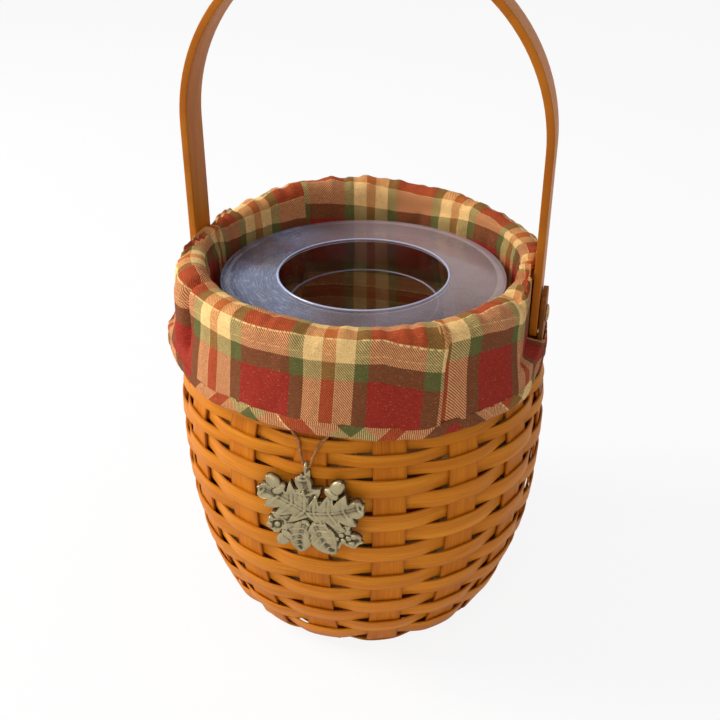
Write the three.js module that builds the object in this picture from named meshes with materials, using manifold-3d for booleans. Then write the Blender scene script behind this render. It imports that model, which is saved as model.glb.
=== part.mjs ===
import * as THREE from 'three';
import { mergeVertices } from 'three/addons/utils/BufferGeometryUtils.js';
import Module from 'manifold-3d';

const wasm = await Module();
wasm.setup();

// A round splint basket with a swing handle, a cloth liner, a clear insert and a cast tie-on.
// Millimetres, +Z up. The origin is the middle of the base, on the surface it stands on.
// The handle pivots on the X axis, and the tie-on hangs at the front, towards -Y.

// Clearances
const lay = 0.3; // between strips that lie on each other
const weaveGap = 0.5; // between a weaver and the upright that it passes
const slack = 0.4; // between cloth and wood
const swingGap = 0.6; // beside the handle's arms
const boreGap = 0.3; // between a fastener and its hole, on the radius

// Basket wall, measured on the middle of the upright splints
const uprightCount = 16;
const baseRadius = 78.2;
const baseEdgeHeight = 8;
const baseFlatRadius = 64;
const bellyRadius = 95.9;
const bellyHeight = 115;
const neckRadius = 84.2;
const neckHeight = 170.5;
const edgeRound = 5;
const edgeLift = 1;
const edgeLean = 1.4;
const lowerWallRise = 34;
const lowerWallLean = 8.8;
const bellyFullness = 45;
const shoulderFullness = 30;
const neckStraight = 13;

// Splints and weavers
const splintWidth = 16;
const splintThickness = 1.2;
const splintCentreWidth = 9;
const crossRadius = 25;
const settleRadius = 47;
const weaverThickness = 1.0;
const wideWeaver = 9.5;
const narrowWeaver = 6.1;
const rowGap = 0.4;
const narrowRowsBelowLace = 4;
const narrowRowsAboveLace = 3;
const passMargin = 0.6;
const baseRowMargin = 2.45;
const edgeWeaver = 4.6;
const edgeRowShare = 0.5;

// Rim
const rimAboveNeck = 1;
const rimBandHeight = 22.5;
const rimBandThickness = 2.0;
const rimSegments = 48;

// Handle, ears and rivets
const handleThickness = 3.8;
const handleWidth = 19;
const handleEndWidth = 11;
const handleRound = 4.5;
const handleChamfer = 0.9;
const pivotInBand = 3.5;
const handleBelowPivot = 10.5;
const handleAbovePivot = 175;
const earThickness = 2.3;
const earTailThickness = 1.0;
const earWidth = 17;
const earTailWidth = 15;
const earAbovePivot = 14;
const earBelowPivot = 43;
const earTuck = 27;
const earCrank = 2.5;
const rivetRadius = 2.0;
const rivetHeadRadius = 4.6;
const rivetHeadHeight = 1.4;

// Rim tacks
const tackAngles = [45, 90, 135, 225, 270, 315];
const tackRadius = 0.8;
const tackHeadRadius = 2.1;
const tackHeadHeight = 0.7;

// Cloth liner
const clothThickness = 1.4;
const crestAboveRim = 10;
const hemBelowTuck = 7.96;
const hemFlare = 6.5;
const bindingHeight = 7;
const bindingThickness = 2.2;
const clothSegments = 42;
const slitHalfWidth = 17.5;
const slitAboveTuck = 0.4;
const slitCorner = 5;
const bagFloorRound = 8;

// Clear insert
const vesselFootClearance = 6.9;
const vesselBelowRim = 10;
const vesselWall = 1.8;
const footRound = 3;
const lidClearance = 5.9;
const lidFit = 1;
const lidThickness = 1.6;
const lidEdge = 0.6;
const lidSkirt = 6;
const holeRadius = 43.6;
const throatRadius = 38.6;
const throatDepth = 16.5;
const lidLipHeight = 1.0;
const roundSegments = 36;

// Tie-on and lace
const laceRadius = 0.6;
const laceSides = 6;
const laceReach = 9.4;
const laceDrop = 20.74;
const ornamentWidth = 54;
const ornamentThickness = 2.4;
const eyeRadius = 2.3;
const eyeWire = 0.8;

const up = new THREE.Vector3(0, 0, 1);
const degrees = THREE.MathUtils.degToRad;

const looks = {
  splint: new THREE.MeshStandardMaterial({ color: 0xc9832f, roughness: 0.5, metalness: 0 }),
  weaver: new THREE.MeshStandardMaterial({ color: 0xc37d2e, roughness: 0.5, metalness: 0 }),
  wood: new THREE.MeshStandardMaterial({ color: 0xc98022, roughness: 0.45, metalness: 0 }),
  brass: new THREE.MeshStandardMaterial({ color: 0xb08a45, roughness: 0.35, metalness: 1 }),
  cloth: new THREE.MeshStandardMaterial({ color: 0x9c4a3c, roughness: 0.9, metalness: 0 }),
  binding: new THREE.MeshStandardMaterial({ color: 0x8c7f55, roughness: 0.9, metalness: 0 }),
  clear: new THREE.MeshStandardMaterial({
    color: 0xdfe4ec, roughness: 0.1, metalness: 0, transparent: true, opacity: 0.35,
  }),
  pewter: new THREE.MeshStandardMaterial({ color: 0x8f8c84, roughness: 0.45, metalness: 1 }),
  lace: new THREE.MeshStandardMaterial({ color: 0x7a4a26, roughness: 0.9, metalness: 0 }),
};

const basket = new THREE.Group();

function place(name, geometry, look) {
  const mesh = new THREE.Mesh(geometry, looks[look].clone());
  mesh.name = name;
  basket.add(mesh);
  return mesh;
}

// Geometry helpers

function facingOut(points, triangles) {
  const volume = triangles.reduce((sum, [a, b, c]) => {
    const cross = new THREE.Vector3().crossVectors(points[b], points[c]);
    return sum + points[a].dot(cross);
  }, 0);
  const order = volume < 0 ? triangles.map(([a, b, c]) => [a, c, b]) : triangles;
  const geometry = new THREE.BufferGeometry();
  geometry.setAttribute('position', new THREE.Float32BufferAttribute(points.flatMap((p) => p.toArray()), 3));
  geometry.setIndex(order.flat());
  return geometry;
}

// Joins rings of equal count into one closed body, as a loop or with flat ends.
function skin(rings, loop = false) {
  const count = rings[0].length;
  const triangles = [];
  const last = loop ? rings.length : rings.length - 1;
  for (let i = 0; i < last; i += 1) {
    const here = i * count;
    const next = ((i + 1) % rings.length) * count;
    for (let j = 0; j < count; j += 1) {
      const k = (j + 1) % count;
      triangles.push([here + j, next + j, next + k], [here + j, next + k, here + k]);
    }
  }
  if (!loop) {
    const end = (rings.length - 1) * count;
    for (let j = 1; j < count - 1; j += 1) {
      triangles.push([0, j, j + 1], [end, end + j + 1, end + j]);
    }
  }
  return facingOut(rings.flat(), triangles);
}

function toSolid(geometry) {
  const plain = geometry.clone();
  plain.deleteAttribute('normal');
  plain.deleteAttribute('uv');
  const merged = mergeVertices(plain, 1e-4);
  return new wasm.Manifold(new wasm.Mesh({
    numProp: 3,
    vertProperties: new Float32Array(merged.attributes.position.array),
    triVerts: new Uint32Array(merged.index.array),
  }));
}

function fromSolid(solid) {
  const { vertProperties, triVerts } = solid.getMesh();
  const geometry = new THREE.BufferGeometry();
  geometry.setAttribute('position', new THREE.BufferAttribute(vertProperties, 3));
  geometry.setIndex(new THREE.BufferAttribute(triVerts, 1));
  return geometry;
}

function cut(geometry, cutters) {
  const body = cutters.reduce((solid, cutter) => solid.subtract(toSolid(cutter)), toSolid(geometry));
  return fromSolid(body);
}

function join(geometries) {
  const solids = geometries.map(toSolid);
  return fromSolid(solids.reduce((whole, piece) => whole.add(piece)));
}

// A round rod or drill whose axis leaves the Z axis at an angle and a height.
function radialRod(radius, from, to, angle, height, sides = 12) {
  const rod = new THREE.CylinderGeometry(radius, radius, to - from, sides);
  rod.rotateZ(-Math.PI / 2);
  rod.translate((from + to) / 2, 0, 0);
  rod.rotateZ(angle);
  rod.translate(0, 0, height);
  return rod;
}

function turned(outline, segments = roundSegments) {
  const closed = [...outline, outline[0]].map(([r, z]) => new THREE.Vector2(r, z));
  const geometry = new THREE.LatheGeometry(closed, segments);
  geometry.rotateX(Math.PI / 2);
  return geometry;
}

// The side of the basket: a flat base, a rounded edge, a belly and a neck

const baseMiddle = weaverThickness + weaveGap + splintThickness / 2;
const turn = new THREE.CubicBezierCurve(
  new THREE.Vector2(baseFlatRadius, baseMiddle),
  new THREE.Vector2(baseRadius - edgeRound, baseMiddle),
  new THREE.Vector2(baseRadius - edgeLean, baseMiddle + edgeLift),
  new THREE.Vector2(baseRadius, baseEdgeHeight),
);
const lowerWall = new THREE.CubicBezierCurve(
  new THREE.Vector2(baseRadius, baseEdgeHeight),
  new THREE.Vector2(baseRadius + lowerWallLean, baseEdgeHeight + lowerWallRise),
  new THREE.Vector2(bellyRadius, bellyHeight - bellyFullness),
  new THREE.Vector2(bellyRadius, bellyHeight),
);
const upperWall = new THREE.CubicBezierCurve(
  new THREE.Vector2(bellyRadius, bellyHeight),
  new THREE.Vector2(bellyRadius, bellyHeight + shoulderFullness),
  new THREE.Vector2(neckRadius, neckHeight - neckStraight),
  new THREE.Vector2(neckRadius, neckHeight),
);
const side = new THREE.CurvePath();
side.add(lowerWall);
side.add(upperWall);
const sideLength = side.getLength();

// The wall's middle, its direction and its outward normal at a length along the side.
function wallAt(length) {
  const share = THREE.MathUtils.clamp(length / sideLength, 0, 1);
  const middle = side.getPointAt(share);
  const along = side.getTangentAt(share);
  const out = new THREE.Vector2(along.y, -along.x);
  return { middle, along, out };
}

function lengthAtHeight(height) {
  let low = 0;
  let high = sideLength;
  for (let i = 0; i < 40; i += 1) {
    const half = (low + high) / 2;
    if (wallAt(half).middle.y < height) low = half;
    else high = half;
  }
  return low;
}

function wallRadius(height) {
  return height >= neckHeight ? neckRadius : wallAt(lengthAtHeight(height)).middle.x;
}

const passOffset = splintThickness / 2 + weaveGap + weaverThickness / 2;
const pitchAngle = (2 * Math.PI) / uprightCount;

// Heights above the neck follow from what each piece sits on
const rimBottom = neckHeight + rimAboveNeck;
const rimTop = rimBottom + rimBandHeight;
const pivotHeight = rimBottom + pivotInBand;
const earTailBottom = pivotHeight - earBelowPivot;

// Long splints: up one side, across the base and up the other side

const spokeCount = uprightCount / 2;
const layerStep = splintThickness + lay;
const rimTuck = 0.5;

function splintWidthAt(radius) {
  const share = THREE.MathUtils.clamp((radius - crossRadius) / (settleRadius - crossRadius), 0, 1);
  return THREE.MathUtils.lerp(splintCentreWidth, splintWidth, share);
}

// Half of a splint's middle line, from the centre of the base to the rim.
function splintLine(layer) {
  const layerHeight = splintThickness / 2 + layer * layerStep;
  return [
    new THREE.Vector2(0, layerHeight),
    new THREE.Vector2(crossRadius, layerHeight),
    new THREE.Vector2(settleRadius, baseMiddle),
    ...turn.getPoints(6),
    ...lowerWall.getSpacedPoints(8).slice(1),
    ...upperWall.getSpacedPoints(9).slice(1),
    new THREE.Vector2(neckRadius, rimTop - rimTuck),
  ];
}

function splintGeometry(index) {
  const half = splintLine(index);
  const line = [...half.slice(1).reverse().map((p) => new THREE.Vector2(-p.x, p.y)), ...half];
  const angle = index * pitchAngle;
  const across = new THREE.Vector3(-Math.sin(angle), Math.cos(angle), 0);
  const outwards = new THREE.Vector3(Math.cos(angle), Math.sin(angle), 0);
  const rings = line.map((point, i) => {
    const before = line[Math.max(i - 1, 0)];
    const after = line[Math.min(i + 1, line.length - 1)];
    const along = new THREE.Vector2().subVectors(after, before).normalize();
    const normal = new THREE.Vector2(-along.y, along.x);
    const reach = splintWidthAt(Math.abs(point.x)) / 2;
    return [[-1, -1], [1, -1], [1, 1], [-1, 1]].map(([s, n]) => {
      const flat = point.clone().addScaledVector(normal, (n * splintThickness) / 2);
      const onAxis = outwards.clone().multiplyScalar(flat.x).addScaledVector(up, flat.y);
      return onAxis.addScaledVector(across, s * reach);
    });
  });
  return skin(rings);
}

// Rows of weavers from the base edge to the rim, with room for the lace between two narrow ones

const laceGap = 2 * laceRadius + lay;
const narrowSpan = (narrowRowsBelowLace + narrowRowsAboveLace) * (narrowWeaver + rowGap) + laceGap;
const wideRows = Math.floor((lengthAtHeight(neckHeight) - narrowSpan) / (wideWeaver + rowGap));
const rowWidths = [
  ...Array(wideRows).fill(wideWeaver),
  ...Array(narrowRowsBelowLace + narrowRowsAboveLace).fill(narrowWeaver),
];
const laceRow = wideRows + narrowRowsBelowLace;
const rowStarts = rowWidths.map((_, row) => (
  rowWidths.slice(0, row).reduce((sum, width) => sum + width + rowGap, row < laceRow ? 0 : laceGap)
));
const laceLength = rowStarts[laceRow] - (laceGap + rowGap) / 2;

// The ears come out above a row that passes over them, the nearest one to their tucked length
const rowEdges = rowStarts.map((start) => wallAt(start - rowGap / 2).middle.y);
const wantedTuck = earTailBottom + earTuck;
const edgesOverEar = rowEdges.filter((_, row) => row % 2 === 1);
const tuckTop = edgesOverEar.reduce((best, edge) => (
  Math.abs(edge - wantedTuck) < Math.abs(best - wantedTuck) ? edge : best
));

// Each row is one hoop that passes over and under the uprights in turn

// The ring of one section of a hoop, on a pass over (+1) or under (-1) an upright.
function passSection(wall, width, angle, halfPass, offset) {
  return [[-1, -1], [1, -1], [1, 1], [-1, 1]].map(([s, n]) => {
    const flat = wall.middle.clone()
      .addScaledVector(wall.along, (s * width) / 2)
      .addScaledVector(wall.out, offset + (n * weaverThickness) / 2);
    const radius = flat.x / Math.cos(halfPass);
    return new THREE.Vector3(radius * Math.cos(angle), radius * Math.sin(angle), flat.y);
  });
}

function underEar(upright, wall, width) {
  const atEar = upright % (uprightCount / 2) === 0;
  const reach = (wall.along.y * width) / 2;
  return atEar && wall.middle.y + reach > earTailBottom && wall.middle.y - reach < tuckTop;
}

function hoopGeometry(wall, width, phase) {
  const halfPass = (splintWidth / 2 + passMargin) / wall.middle.x;
  const rings = [];
  for (let upright = 0; upright < uprightCount; upright += 1) {
    const over = (upright + phase) % 2 === 0;
    const bulge = over && underEar(upright, wall, width) ? earTailThickness + lay : 0;
    const offset = over ? passOffset + bulge : -passOffset;
    const centre = upright * pitchAngle;
    rings.push(passSection(wall, width, centre - halfPass, halfPass, offset));
    rings.push(passSection(wall, width, centre + halfPass, halfPass, offset));
  }
  return skin(rings, true);
}

rowWidths.forEach((width, row) => {
  const name = row < wideRows ? `wide_weaver_${row + 1}` : `narrow_weaver_${row - wideRows + 1}`;
  place(name, hoopGeometry(wallAt(rowStarts[row] + width / 2), width, row), 'weaver');
});

// Base rows lie flat, over and under the spokes, as many as fit inside the row on the edge
const edgeMiddle = turn.getPointAt(edgeRowShare);
const baseRowsFrom = settleRadius + baseRowMargin;
const baseRowsTo = edgeMiddle.x - edgeWeaver / 2;
const baseRows = Math.floor((baseRowsTo - baseRowsFrom + rowGap) / (narrowWeaver + rowGap));
for (let i = 0; i < baseRows; i += 1) {
  const flat = {
    middle: new THREE.Vector2(baseRowsFrom + narrowWeaver / 2 + i * (narrowWeaver + rowGap), baseMiddle),
    along: new THREE.Vector2(1, 0),
    out: new THREE.Vector2(0, -1),
  };
  place(`base_weaver_${i + 1}`, hoopGeometry(flat, narrowWeaver, i), 'weaver');
}

// One more row goes round the rounded edge of the base
const edgeAlong = turn.getTangentAt(edgeRowShare);
const edgeWall = {
  middle: edgeMiddle,
  along: edgeAlong,
  out: new THREE.Vector2(edgeAlong.y, -edgeAlong.x),
};
place('edge_weaver', hoopGeometry(edgeWall, edgeWeaver, baseRows), 'weaver');

// Rim bands clasp the tops of the uprights
const outerBandInside = neckRadius + splintThickness / 2 + lay;
const rimOutside = outerBandInside + rimBandThickness;
const innerBandOutside = neckRadius - splintThickness / 2 - lay;
const rimInside = innerBandOutside - rimBandThickness;

const pivotDrill = [0, Math.PI].map((angle) => (
  radialRod(rivetRadius + boreGap, rimInside - 5, rimOutside + 20, angle, pivotHeight)
));
const rimMiddle = (rimTop + rimBottom) / 2;
const tackDrills = tackAngles.map((angle) => (
  radialRod(tackRadius + boreGap, rimInside + 0.6, rimOutside + 5, degrees(angle), rimMiddle, 8)
));

function bandGeometry(inside, outside) {
  const halfStep = Math.cos(Math.PI / rimSegments);
  return turned([
    [inside / halfStep, rimBottom],
    [outside, rimBottom],
    [outside, rimTop],
    [inside / halfStep, rimTop],
  ], rimSegments);
}

const bandDrills = [...pivotDrill, ...tackDrills];
place('rim_band_outer', cut(bandGeometry(outerBandInside + lay, rimOutside), bandDrills), 'wood');
place('rim_band_inner', cut(bandGeometry(rimInside, innerBandOutside), bandDrills), 'wood');

for (let index = 0; index < spokeCount; index += 1) {
  const plain = splintGeometry(index);
  const facing = (angle) => Math.abs(((angle / 180) * uprightCount) / 2 - index) % spokeCount < 0.01;
  const drills = [
    ...(index === 0 ? pivotDrill : []),
    ...tackDrills.filter((_, i) => facing(tackAngles[i])),
  ];
  place(`splint_${index + 1}`, drills.length ? cut(plain, drills) : plain, 'splint');
}

// Handle: one bent strip, straight in its arms and round at the top

const armInside = rimOutside + swingGap;
const armMiddle = armInside + handleThickness / 2;
const archCentre = pivotHeight + handleAbovePivot - handleThickness / 2 - armMiddle;

// Half width of the handle at a distance from its end, for its rounded corners.
function handleHalfWidth(fromEnd) {
  const inCorner = Math.max(0, handleRound - fromEnd);
  const drawnIn = handleRound - Math.sqrt(handleRound ** 2 - inCorner ** 2);
  return handleWidth / 2 - Math.min(drawnIn, (handleWidth - handleEndWidth) / 2);
}

function handleGeometry() {
  const end = pivotHeight - handleBelowPivot;
  const armLength = archCentre - end;
  const stops = [0, 0.6, 1.6, 2.9, handleRound, pivotHeight - end, armLength / 2];
  const arm = stops.map((fromEnd) => (
    { x: armMiddle, z: end + fromEnd, lean: 0, half: handleHalfWidth(fromEnd) }
  ));
  const archSteps = 18;
  const arch = Array.from({ length: archSteps + 1 }, (_, i) => {
    const lean = (Math.PI * i) / archSteps;
    return {
      x: armMiddle * Math.cos(lean),
      z: archCentre + armMiddle * Math.sin(lean),
      lean,
      half: handleWidth / 2,
    };
  });
  const mirrored = [...arm].reverse().map((stop) => ({ ...stop, x: -stop.x, lean: Math.PI }));
  const rings = [...arm, ...arch, ...mirrored].map(({ x, z, lean, half }) => {
    const thick = handleThickness / 2;
    const edge = handleChamfer;
    const outline = [
      [-half, -thick + edge], [-half + edge, -thick], [half - edge, -thick], [half, -thick + edge],
      [half, thick - edge], [half - edge, thick], [-half + edge, thick], [-half, thick - edge],
    ];
    return outline.map(([y, out]) => (
      new THREE.Vector3(x + out * Math.cos(lean), y, z + out * Math.sin(lean))
    ));
  });
  return skin(rings);
}

place('handle', cut(handleGeometry(), pivotDrill), 'wood');

// Ears: a flat tab outside each arm, whose shaved tail is tucked under the weavers

const earInside = armInside + handleThickness + swingGap;
const earMiddle = earInside + earThickness / 2;
const earOutside = earInside + earThickness;

function earGeometry() {
  const tail = [0, 0.25, 0.5, 0.75, 1].map((share) => {
    const height = THREE.MathUtils.lerp(earTailBottom, tuckTop, share);
    const wall = wallAt(lengthAtHeight(height));
    const offset = splintThickness / 2 + lay + earTailThickness / 2;
    const middle = wall.middle.clone().addScaledVector(wall.out, offset);
    return { x: middle.x, z: middle.y, thick: earTailThickness / 2, half: earTailWidth / 2 };
  });
  const crank = { x: earMiddle, z: tuckTop + earCrank, thick: earThickness / 2, half: earWidth / 2 };
  const round = earWidth / 2;
  const head = [0, 0.5, 0.8, 0.95].map((share) => ({
    x: earMiddle,
    z: pivotHeight + earAbovePivot - round * (1 - share),
    thick: earThickness / 2,
    half: round * Math.sqrt(1 - share ** 2),
  }));
  const rings = [...tail, crank, ...head].map(({ x, z, thick, half }) => [
    new THREE.Vector3(x - thick, -half, z),
    new THREE.Vector3(x + thick, -half, z),
    new THREE.Vector3(x + thick, half, z),
    new THREE.Vector3(x - thick, half, z),
  ]);
  return skin(rings);
}

const rivetOutline = [
  [0, rimInside + 0.3],
  [rivetRadius, rimInside + 0.3],
  [rivetRadius, earOutside + lay],
  [rivetHeadRadius, earOutside + lay],
  [rivetHeadRadius * 0.9, earOutside + lay + rivetHeadHeight * 0.6],
  [rivetHeadRadius * 0.6, earOutside + lay + rivetHeadHeight],
  [0, earOutside + lay + rivetHeadHeight],
];

// Turns a lathed fastener from the Z axis out along a radius at a height.
function driven(outline, angle, height, segments) {
  const fastener = turned(outline, segments);
  fastener.rotateY(Math.PI / 2);
  fastener.rotateZ(angle);
  fastener.translate(0, 0, height);
  return fastener;
}

['right', 'left'].forEach((name, i) => {
  const ear = earGeometry();
  ear.rotateZ(i * Math.PI);
  place(`ear_${name}`, cut(ear, pivotDrill), 'wood');
  place(`rivet_${name}`, driven(rivetOutline, i * Math.PI, pivotHeight, 12), 'brass');
});

// Small nails hold the two rim bands to every other upright
const tackOutline = [
  [0, innerBandOutside - rimBandThickness / 2],
  [tackRadius, innerBandOutside - rimBandThickness / 2],
  [tackRadius, rimOutside + lay],
  [tackHeadRadius, rimOutside + lay],
  [tackHeadRadius * 0.6, rimOutside + lay + tackHeadHeight],
  [0, rimOutside + lay + tackHeadHeight],
];
tackAngles.forEach((angle, i) => {
  place(`rim_tack_${i + 1}`, driven(tackOutline, degrees(angle), rimMiddle, 8), 'brass');
});

// Cloth liner: a bag inside the basket, and a cuff with a soft crest that hangs over the rim

const stackTop = splintThickness + (spokeCount - 1) * layerStep;
const bagFloor = stackTop + slack + clothThickness / 2;
const bagClearance = passOffset + weaverThickness / 2 + 2 * slack + clothThickness / 2;
const bagNeck = rimInside - slack - clothThickness / 2;
const armPlane = armInside - slack - clothThickness / 2;
const sweepBottom = pivotHeight - handleBelowPivot;
const crestHeight = rimTop + crestAboveRim;
const hemHeight = tuckTop - hemBelowTuck;
const bindingTop = hemHeight + bindingHeight;
const slitBottom = tuckTop + slitAboveTuck;
const hemRadius = wallRadius(hemHeight) + passOffset + (weaverThickness + bindingThickness) / 2 + hemFlare;
const bagCorner = wallRadius(bagFloor + bagFloorRound / 2) - bagClearance - bagFloorRound;

// Middle line of the bag, from the edge of its floor to its seam with the cuff on the crest.
const seam = [bagNeck + 5, crestHeight - 2.6];
const bagFloorRise = 12;
const bagSteps = [60, 10].map((below) => bellyHeight - below);
const neckSteps = [24, 15, 9, 4].map((below) => neckHeight - below);
const bagHeights = [bagFloor + bagFloorRise, ...bagSteps, ...neckSteps];
const bagLine = [
  [bagCorner, bagFloor],
  ...bagHeights.map((height) => [wallRadius(height) - bagClearance, height]),
  [bagNeck, rimBottom - 1],
  [bagNeck, rimTop + slack],
  [bagNeck + 2, crestHeight - 4.5],
  seam,
].map(([radius, height]) => new THREE.Vector2(radius, height));

// Middle line of the cuff, from that seam down to the top of the binding.
const cuffLine = [
  [seam[0] + 2 * lay, seam[1] + lay],
  [bagNeck + 8.5, crestHeight - clothThickness / 2],
  [bagNeck + 14.5, crestHeight - 5],
  [hemRadius - 4.5, rimTop - 13],
  [hemRadius - 1.5, sweepBottom],
  [hemRadius, bindingTop + lay],
].map(([radius, height]) => new THREE.Vector2(radius, height));
const crestIndex = 1;

// Folds of the cuff: where they are, how far they stand out and how wide they are
const cuffFolds = [
  { angle: -50, depth: 1.6, width: 6 },
  { angle: -22, depth: 2.2, width: 8 },
  { angle: 22, depth: 1.8, width: 8 },
  { angle: -158, depth: 2.6, width: 8 },
  { angle: 158, depth: 2.0, width: 8 },
  { angle: -105, depth: 1.0, width: 10 },
  { angle: 75, depth: 1.4, width: 12 },
  { angle: 115, depth: 1.2, width: 12 },
];

function foldAt(angle) {
  return cuffFolds.reduce((sum, fold) => {
    const away = THREE.MathUtils.euclideanModulo(angle - fold.angle + 180, 360) - 180;
    return sum + fold.depth * Math.exp(-((away / fold.width) ** 2));
  }, 0);
}

// Where the handle's arms swing, the cuff is pressed in between them and the rim.
function pressedIn(radius, height, angle) {
  const fromEar = Math.min(Math.abs(Math.sin(degrees(angle))), 0.99);
  const plane = armPlane / Math.sqrt(1 - fromEar ** 2);
  const flare = Math.max(0, sweepBottom - height) * 1.9;
  return height > crestHeight ? radius : Math.min(radius, plane + flare);
}

function clothRing(point, normal, offset, cuffShare) {
  return Array.from({ length: clothSegments }, (_, i) => {
    const angle = (360 * i) / clothSegments;
    const middle = pressedIn(point.x + foldAt(angle) * cuffShare, point.y, angle);
    const radius = middle + normal.x * offset;
    const height = point.y + normal.y * offset;
    return new THREE.Vector3(radius * Math.cos(degrees(angle)), radius * Math.sin(degrees(angle)), height);
  });
}

function clothNormal(line, index) {
  const before = line[Math.max(index - 1, 0)];
  const after = line[Math.min(index + 1, line.length - 1)];
  const along = new THREE.Vector2().subVectors(after, before).normalize();
  return new THREE.Vector2(along.y, -along.x);
}

// Both faces of the cloth along a line. A bag is closed by its floor, and a cuff is open.
function clothGeometry(line, isCuff) {
  const face = (offset) => line.map((point, i) => {
    const cuffShare = isCuff ? THREE.MathUtils.clamp((i - crestIndex) / 3, 0, 1) : 0;
    return clothRing(point, clothNormal(line, i), offset, cuffShare);
  });
  return skin([...face(clothThickness / 2), ...face(-clothThickness / 2).reverse()], isCuff);
}

place('cloth_liner', clothGeometry(bagLine, false), 'cloth');

// The cuff is slit at each ear, down to the binding
function slitGeometry(turnAngle) {
  const depth = 30;
  const outline = new THREE.Shape([
    [-slitHalfWidth, crestHeight + 5],
    [-slitHalfWidth, sweepBottom + 1],
    [slitCorner - slitHalfWidth, slitBottom],
    [slitHalfWidth - slitCorner, slitBottom],
    [slitHalfWidth, sweepBottom + 1],
    [slitHalfWidth, crestHeight + 5],
  ].map(([y, z]) => new THREE.Vector2(y, z)));
  const cutter = new THREE.ExtrudeGeometry(outline, { depth, bevelEnabled: false });
  cutter.rotateX(Math.PI / 2);
  cutter.rotateZ(Math.PI / 2);
  cutter.translate(neckRadius, 0, 0);
  cutter.rotateZ(turnAngle);
  return cutter;
}

place('liner_cuff', cut(clothGeometry(cuffLine, true), [slitGeometry(0), slitGeometry(Math.PI)]), 'cloth');

// The binding is the sewn edge along the foot of the cuff
function bindingGeometry() {
  const section = [[-1, 0], [1, 0], [1, 1], [-1, 1]];
  const rings = Array.from({ length: clothSegments }, (_, i) => {
    const angle = (360 * i) / clothSegments;
    const middle = pressedIn(hemRadius + foldAt(angle), hemHeight, angle);
    return section.map(([n, s]) => {
      const radius = middle + (n * bindingThickness) / 2;
      const height = hemHeight + s * bindingHeight;
      return new THREE.Vector3(radius * Math.cos(degrees(angle)), radius * Math.sin(degrees(angle)), height);
    });
  });
  return skin(rings, true);
}

place('liner_binding', bindingGeometry(), 'binding');

// Clear insert: a round vessel and a flat ring lid with a throat

const vesselFloor = bagFloor + clothThickness / 2 + slack;
const vesselTop = rimTop - vesselBelowRim;
const lidRadius = bagNeck - clothThickness / 2 - lidClearance;
const vesselTopRadius = lidRadius - lidThickness - lidFit;
const vesselFootRadius = bagCorner - vesselFootClearance;
place('clear_vessel', turned([
  [0, vesselFloor],
  [vesselFootRadius - footRound, vesselFloor],
  [vesselFootRadius, vesselFloor + footRound],
  [vesselTopRadius, vesselTop],
  [vesselTopRadius - vesselWall, vesselTop],
  [vesselFootRadius - vesselWall, vesselFloor + footRound],
  [vesselFootRadius - vesselWall - footRound / 2, vesselFloor + vesselWall],
  [0, vesselFloor + vesselWall],
]), 'clear');

const lidUnderside = vesselTop + lay;
const lidTop = lidUnderside + lidThickness;
place('clear_ring_lid', turned([
  [holeRadius, lidTop + lidLipHeight],
  [throatRadius, lidTop - throatDepth],
  [throatRadius + lidThickness, lidTop - throatDepth],
  [holeRadius + lidThickness, lidUnderside],
  [lidRadius - lidThickness, lidUnderside],
  [lidRadius - lidThickness, lidUnderside - lidSkirt],
  [lidRadius, lidUnderside - lidSkirt],
  [lidRadius, lidTop - lidEdge],
  [lidRadius - lidEdge, lidTop],
  [holeRadius + lidThickness, lidTop],
  [holeRadius + lidThickness, lidTop + lidLipHeight],
]), 'clear');

// Tie-on: cast leaves, acorns and berries with an eye for the lace

const wallOutside = bellyRadius + passOffset + weaverThickness / 2;
const ornamentBack = wallOutside + slack;
const laceWall = wallAt(laceLength);
const ornamentTop = laceWall.middle.y - laceDrop;
const ornamentCentre = ornamentTop - ornamentWidth / 2;
const drawnWidth = 54;
const ornamentScale = ornamentWidth / drawnWidth;

// A pointed leaf with lobes, from its stem at the origin along +Y.
function leafGeometry(length, halfWidth, lobes, thickness) {
  const edge = [];
  for (let i = 0; i < lobes; i += 1) {
    const along = (i + 0.75) / (lobes + 0.6);
    const swell = Math.sin(Math.PI * Math.min(1, along * 0.95 + 0.12));
    edge.push([halfWidth * swell * 0.55, length * (along - 0.2 / lobes)]);
    edge.push([halfWidth * swell, length * (along + 0.45 / lobes)]);
  }
  const rightSide = [[halfWidth * 0.18, 0], ...edge];
  const leftSide = [...rightSide].reverse().map(([x, y]) => [-x, y]);
  const outline = [...rightSide, [0, length], ...leftSide].map(([x, y]) => new THREE.Vector2(x, y));
  const leaf = new THREE.ExtrudeGeometry(new THREE.Shape(outline), { depth: thickness, bevelEnabled: false });
  const rib = new THREE.ConeGeometry(thickness * 0.5, length * 0.86, 4);
  rib.translate(0, length * 0.45, thickness);
  return [leaf, rib];
}

function onOrnament(geometry, x, z, turnDegrees, forward = 0) {
  geometry.rotateZ(degrees(turnDegrees));
  geometry.translate(x, z, forward);
  return geometry;
}

const ornamentLeaves = [
  { length: 27, halfWidth: 11, lobes: 3, x: 2, z: 2, turn: -62, forward: 0 },
  { length: 28, halfWidth: 12, lobes: 3, x: 0, z: 0, turn: -168, forward: 0.5 },
  { length: 25, halfWidth: 11, lobes: 3, x: -2, z: 1, turn: 96, forward: 0 },
  { length: 20, halfWidth: 8, lobes: 2, x: 4, z: 0, turn: -112, forward: 0.9 },
  { length: 22, halfWidth: 8, lobes: 2, x: 0, z: 2, turn: 30, forward: 0.6 },
];
const ornamentAcorns = [
  { x: 6, z: 17, turn: -20 },
  { x: -7, z: -13, turn: 150 },
];
const ornamentBerries = [[-16, -9], [-12, -13], [13, -12], [17, -9], [15, -15]];
const berryRadius = 2.6;

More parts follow.
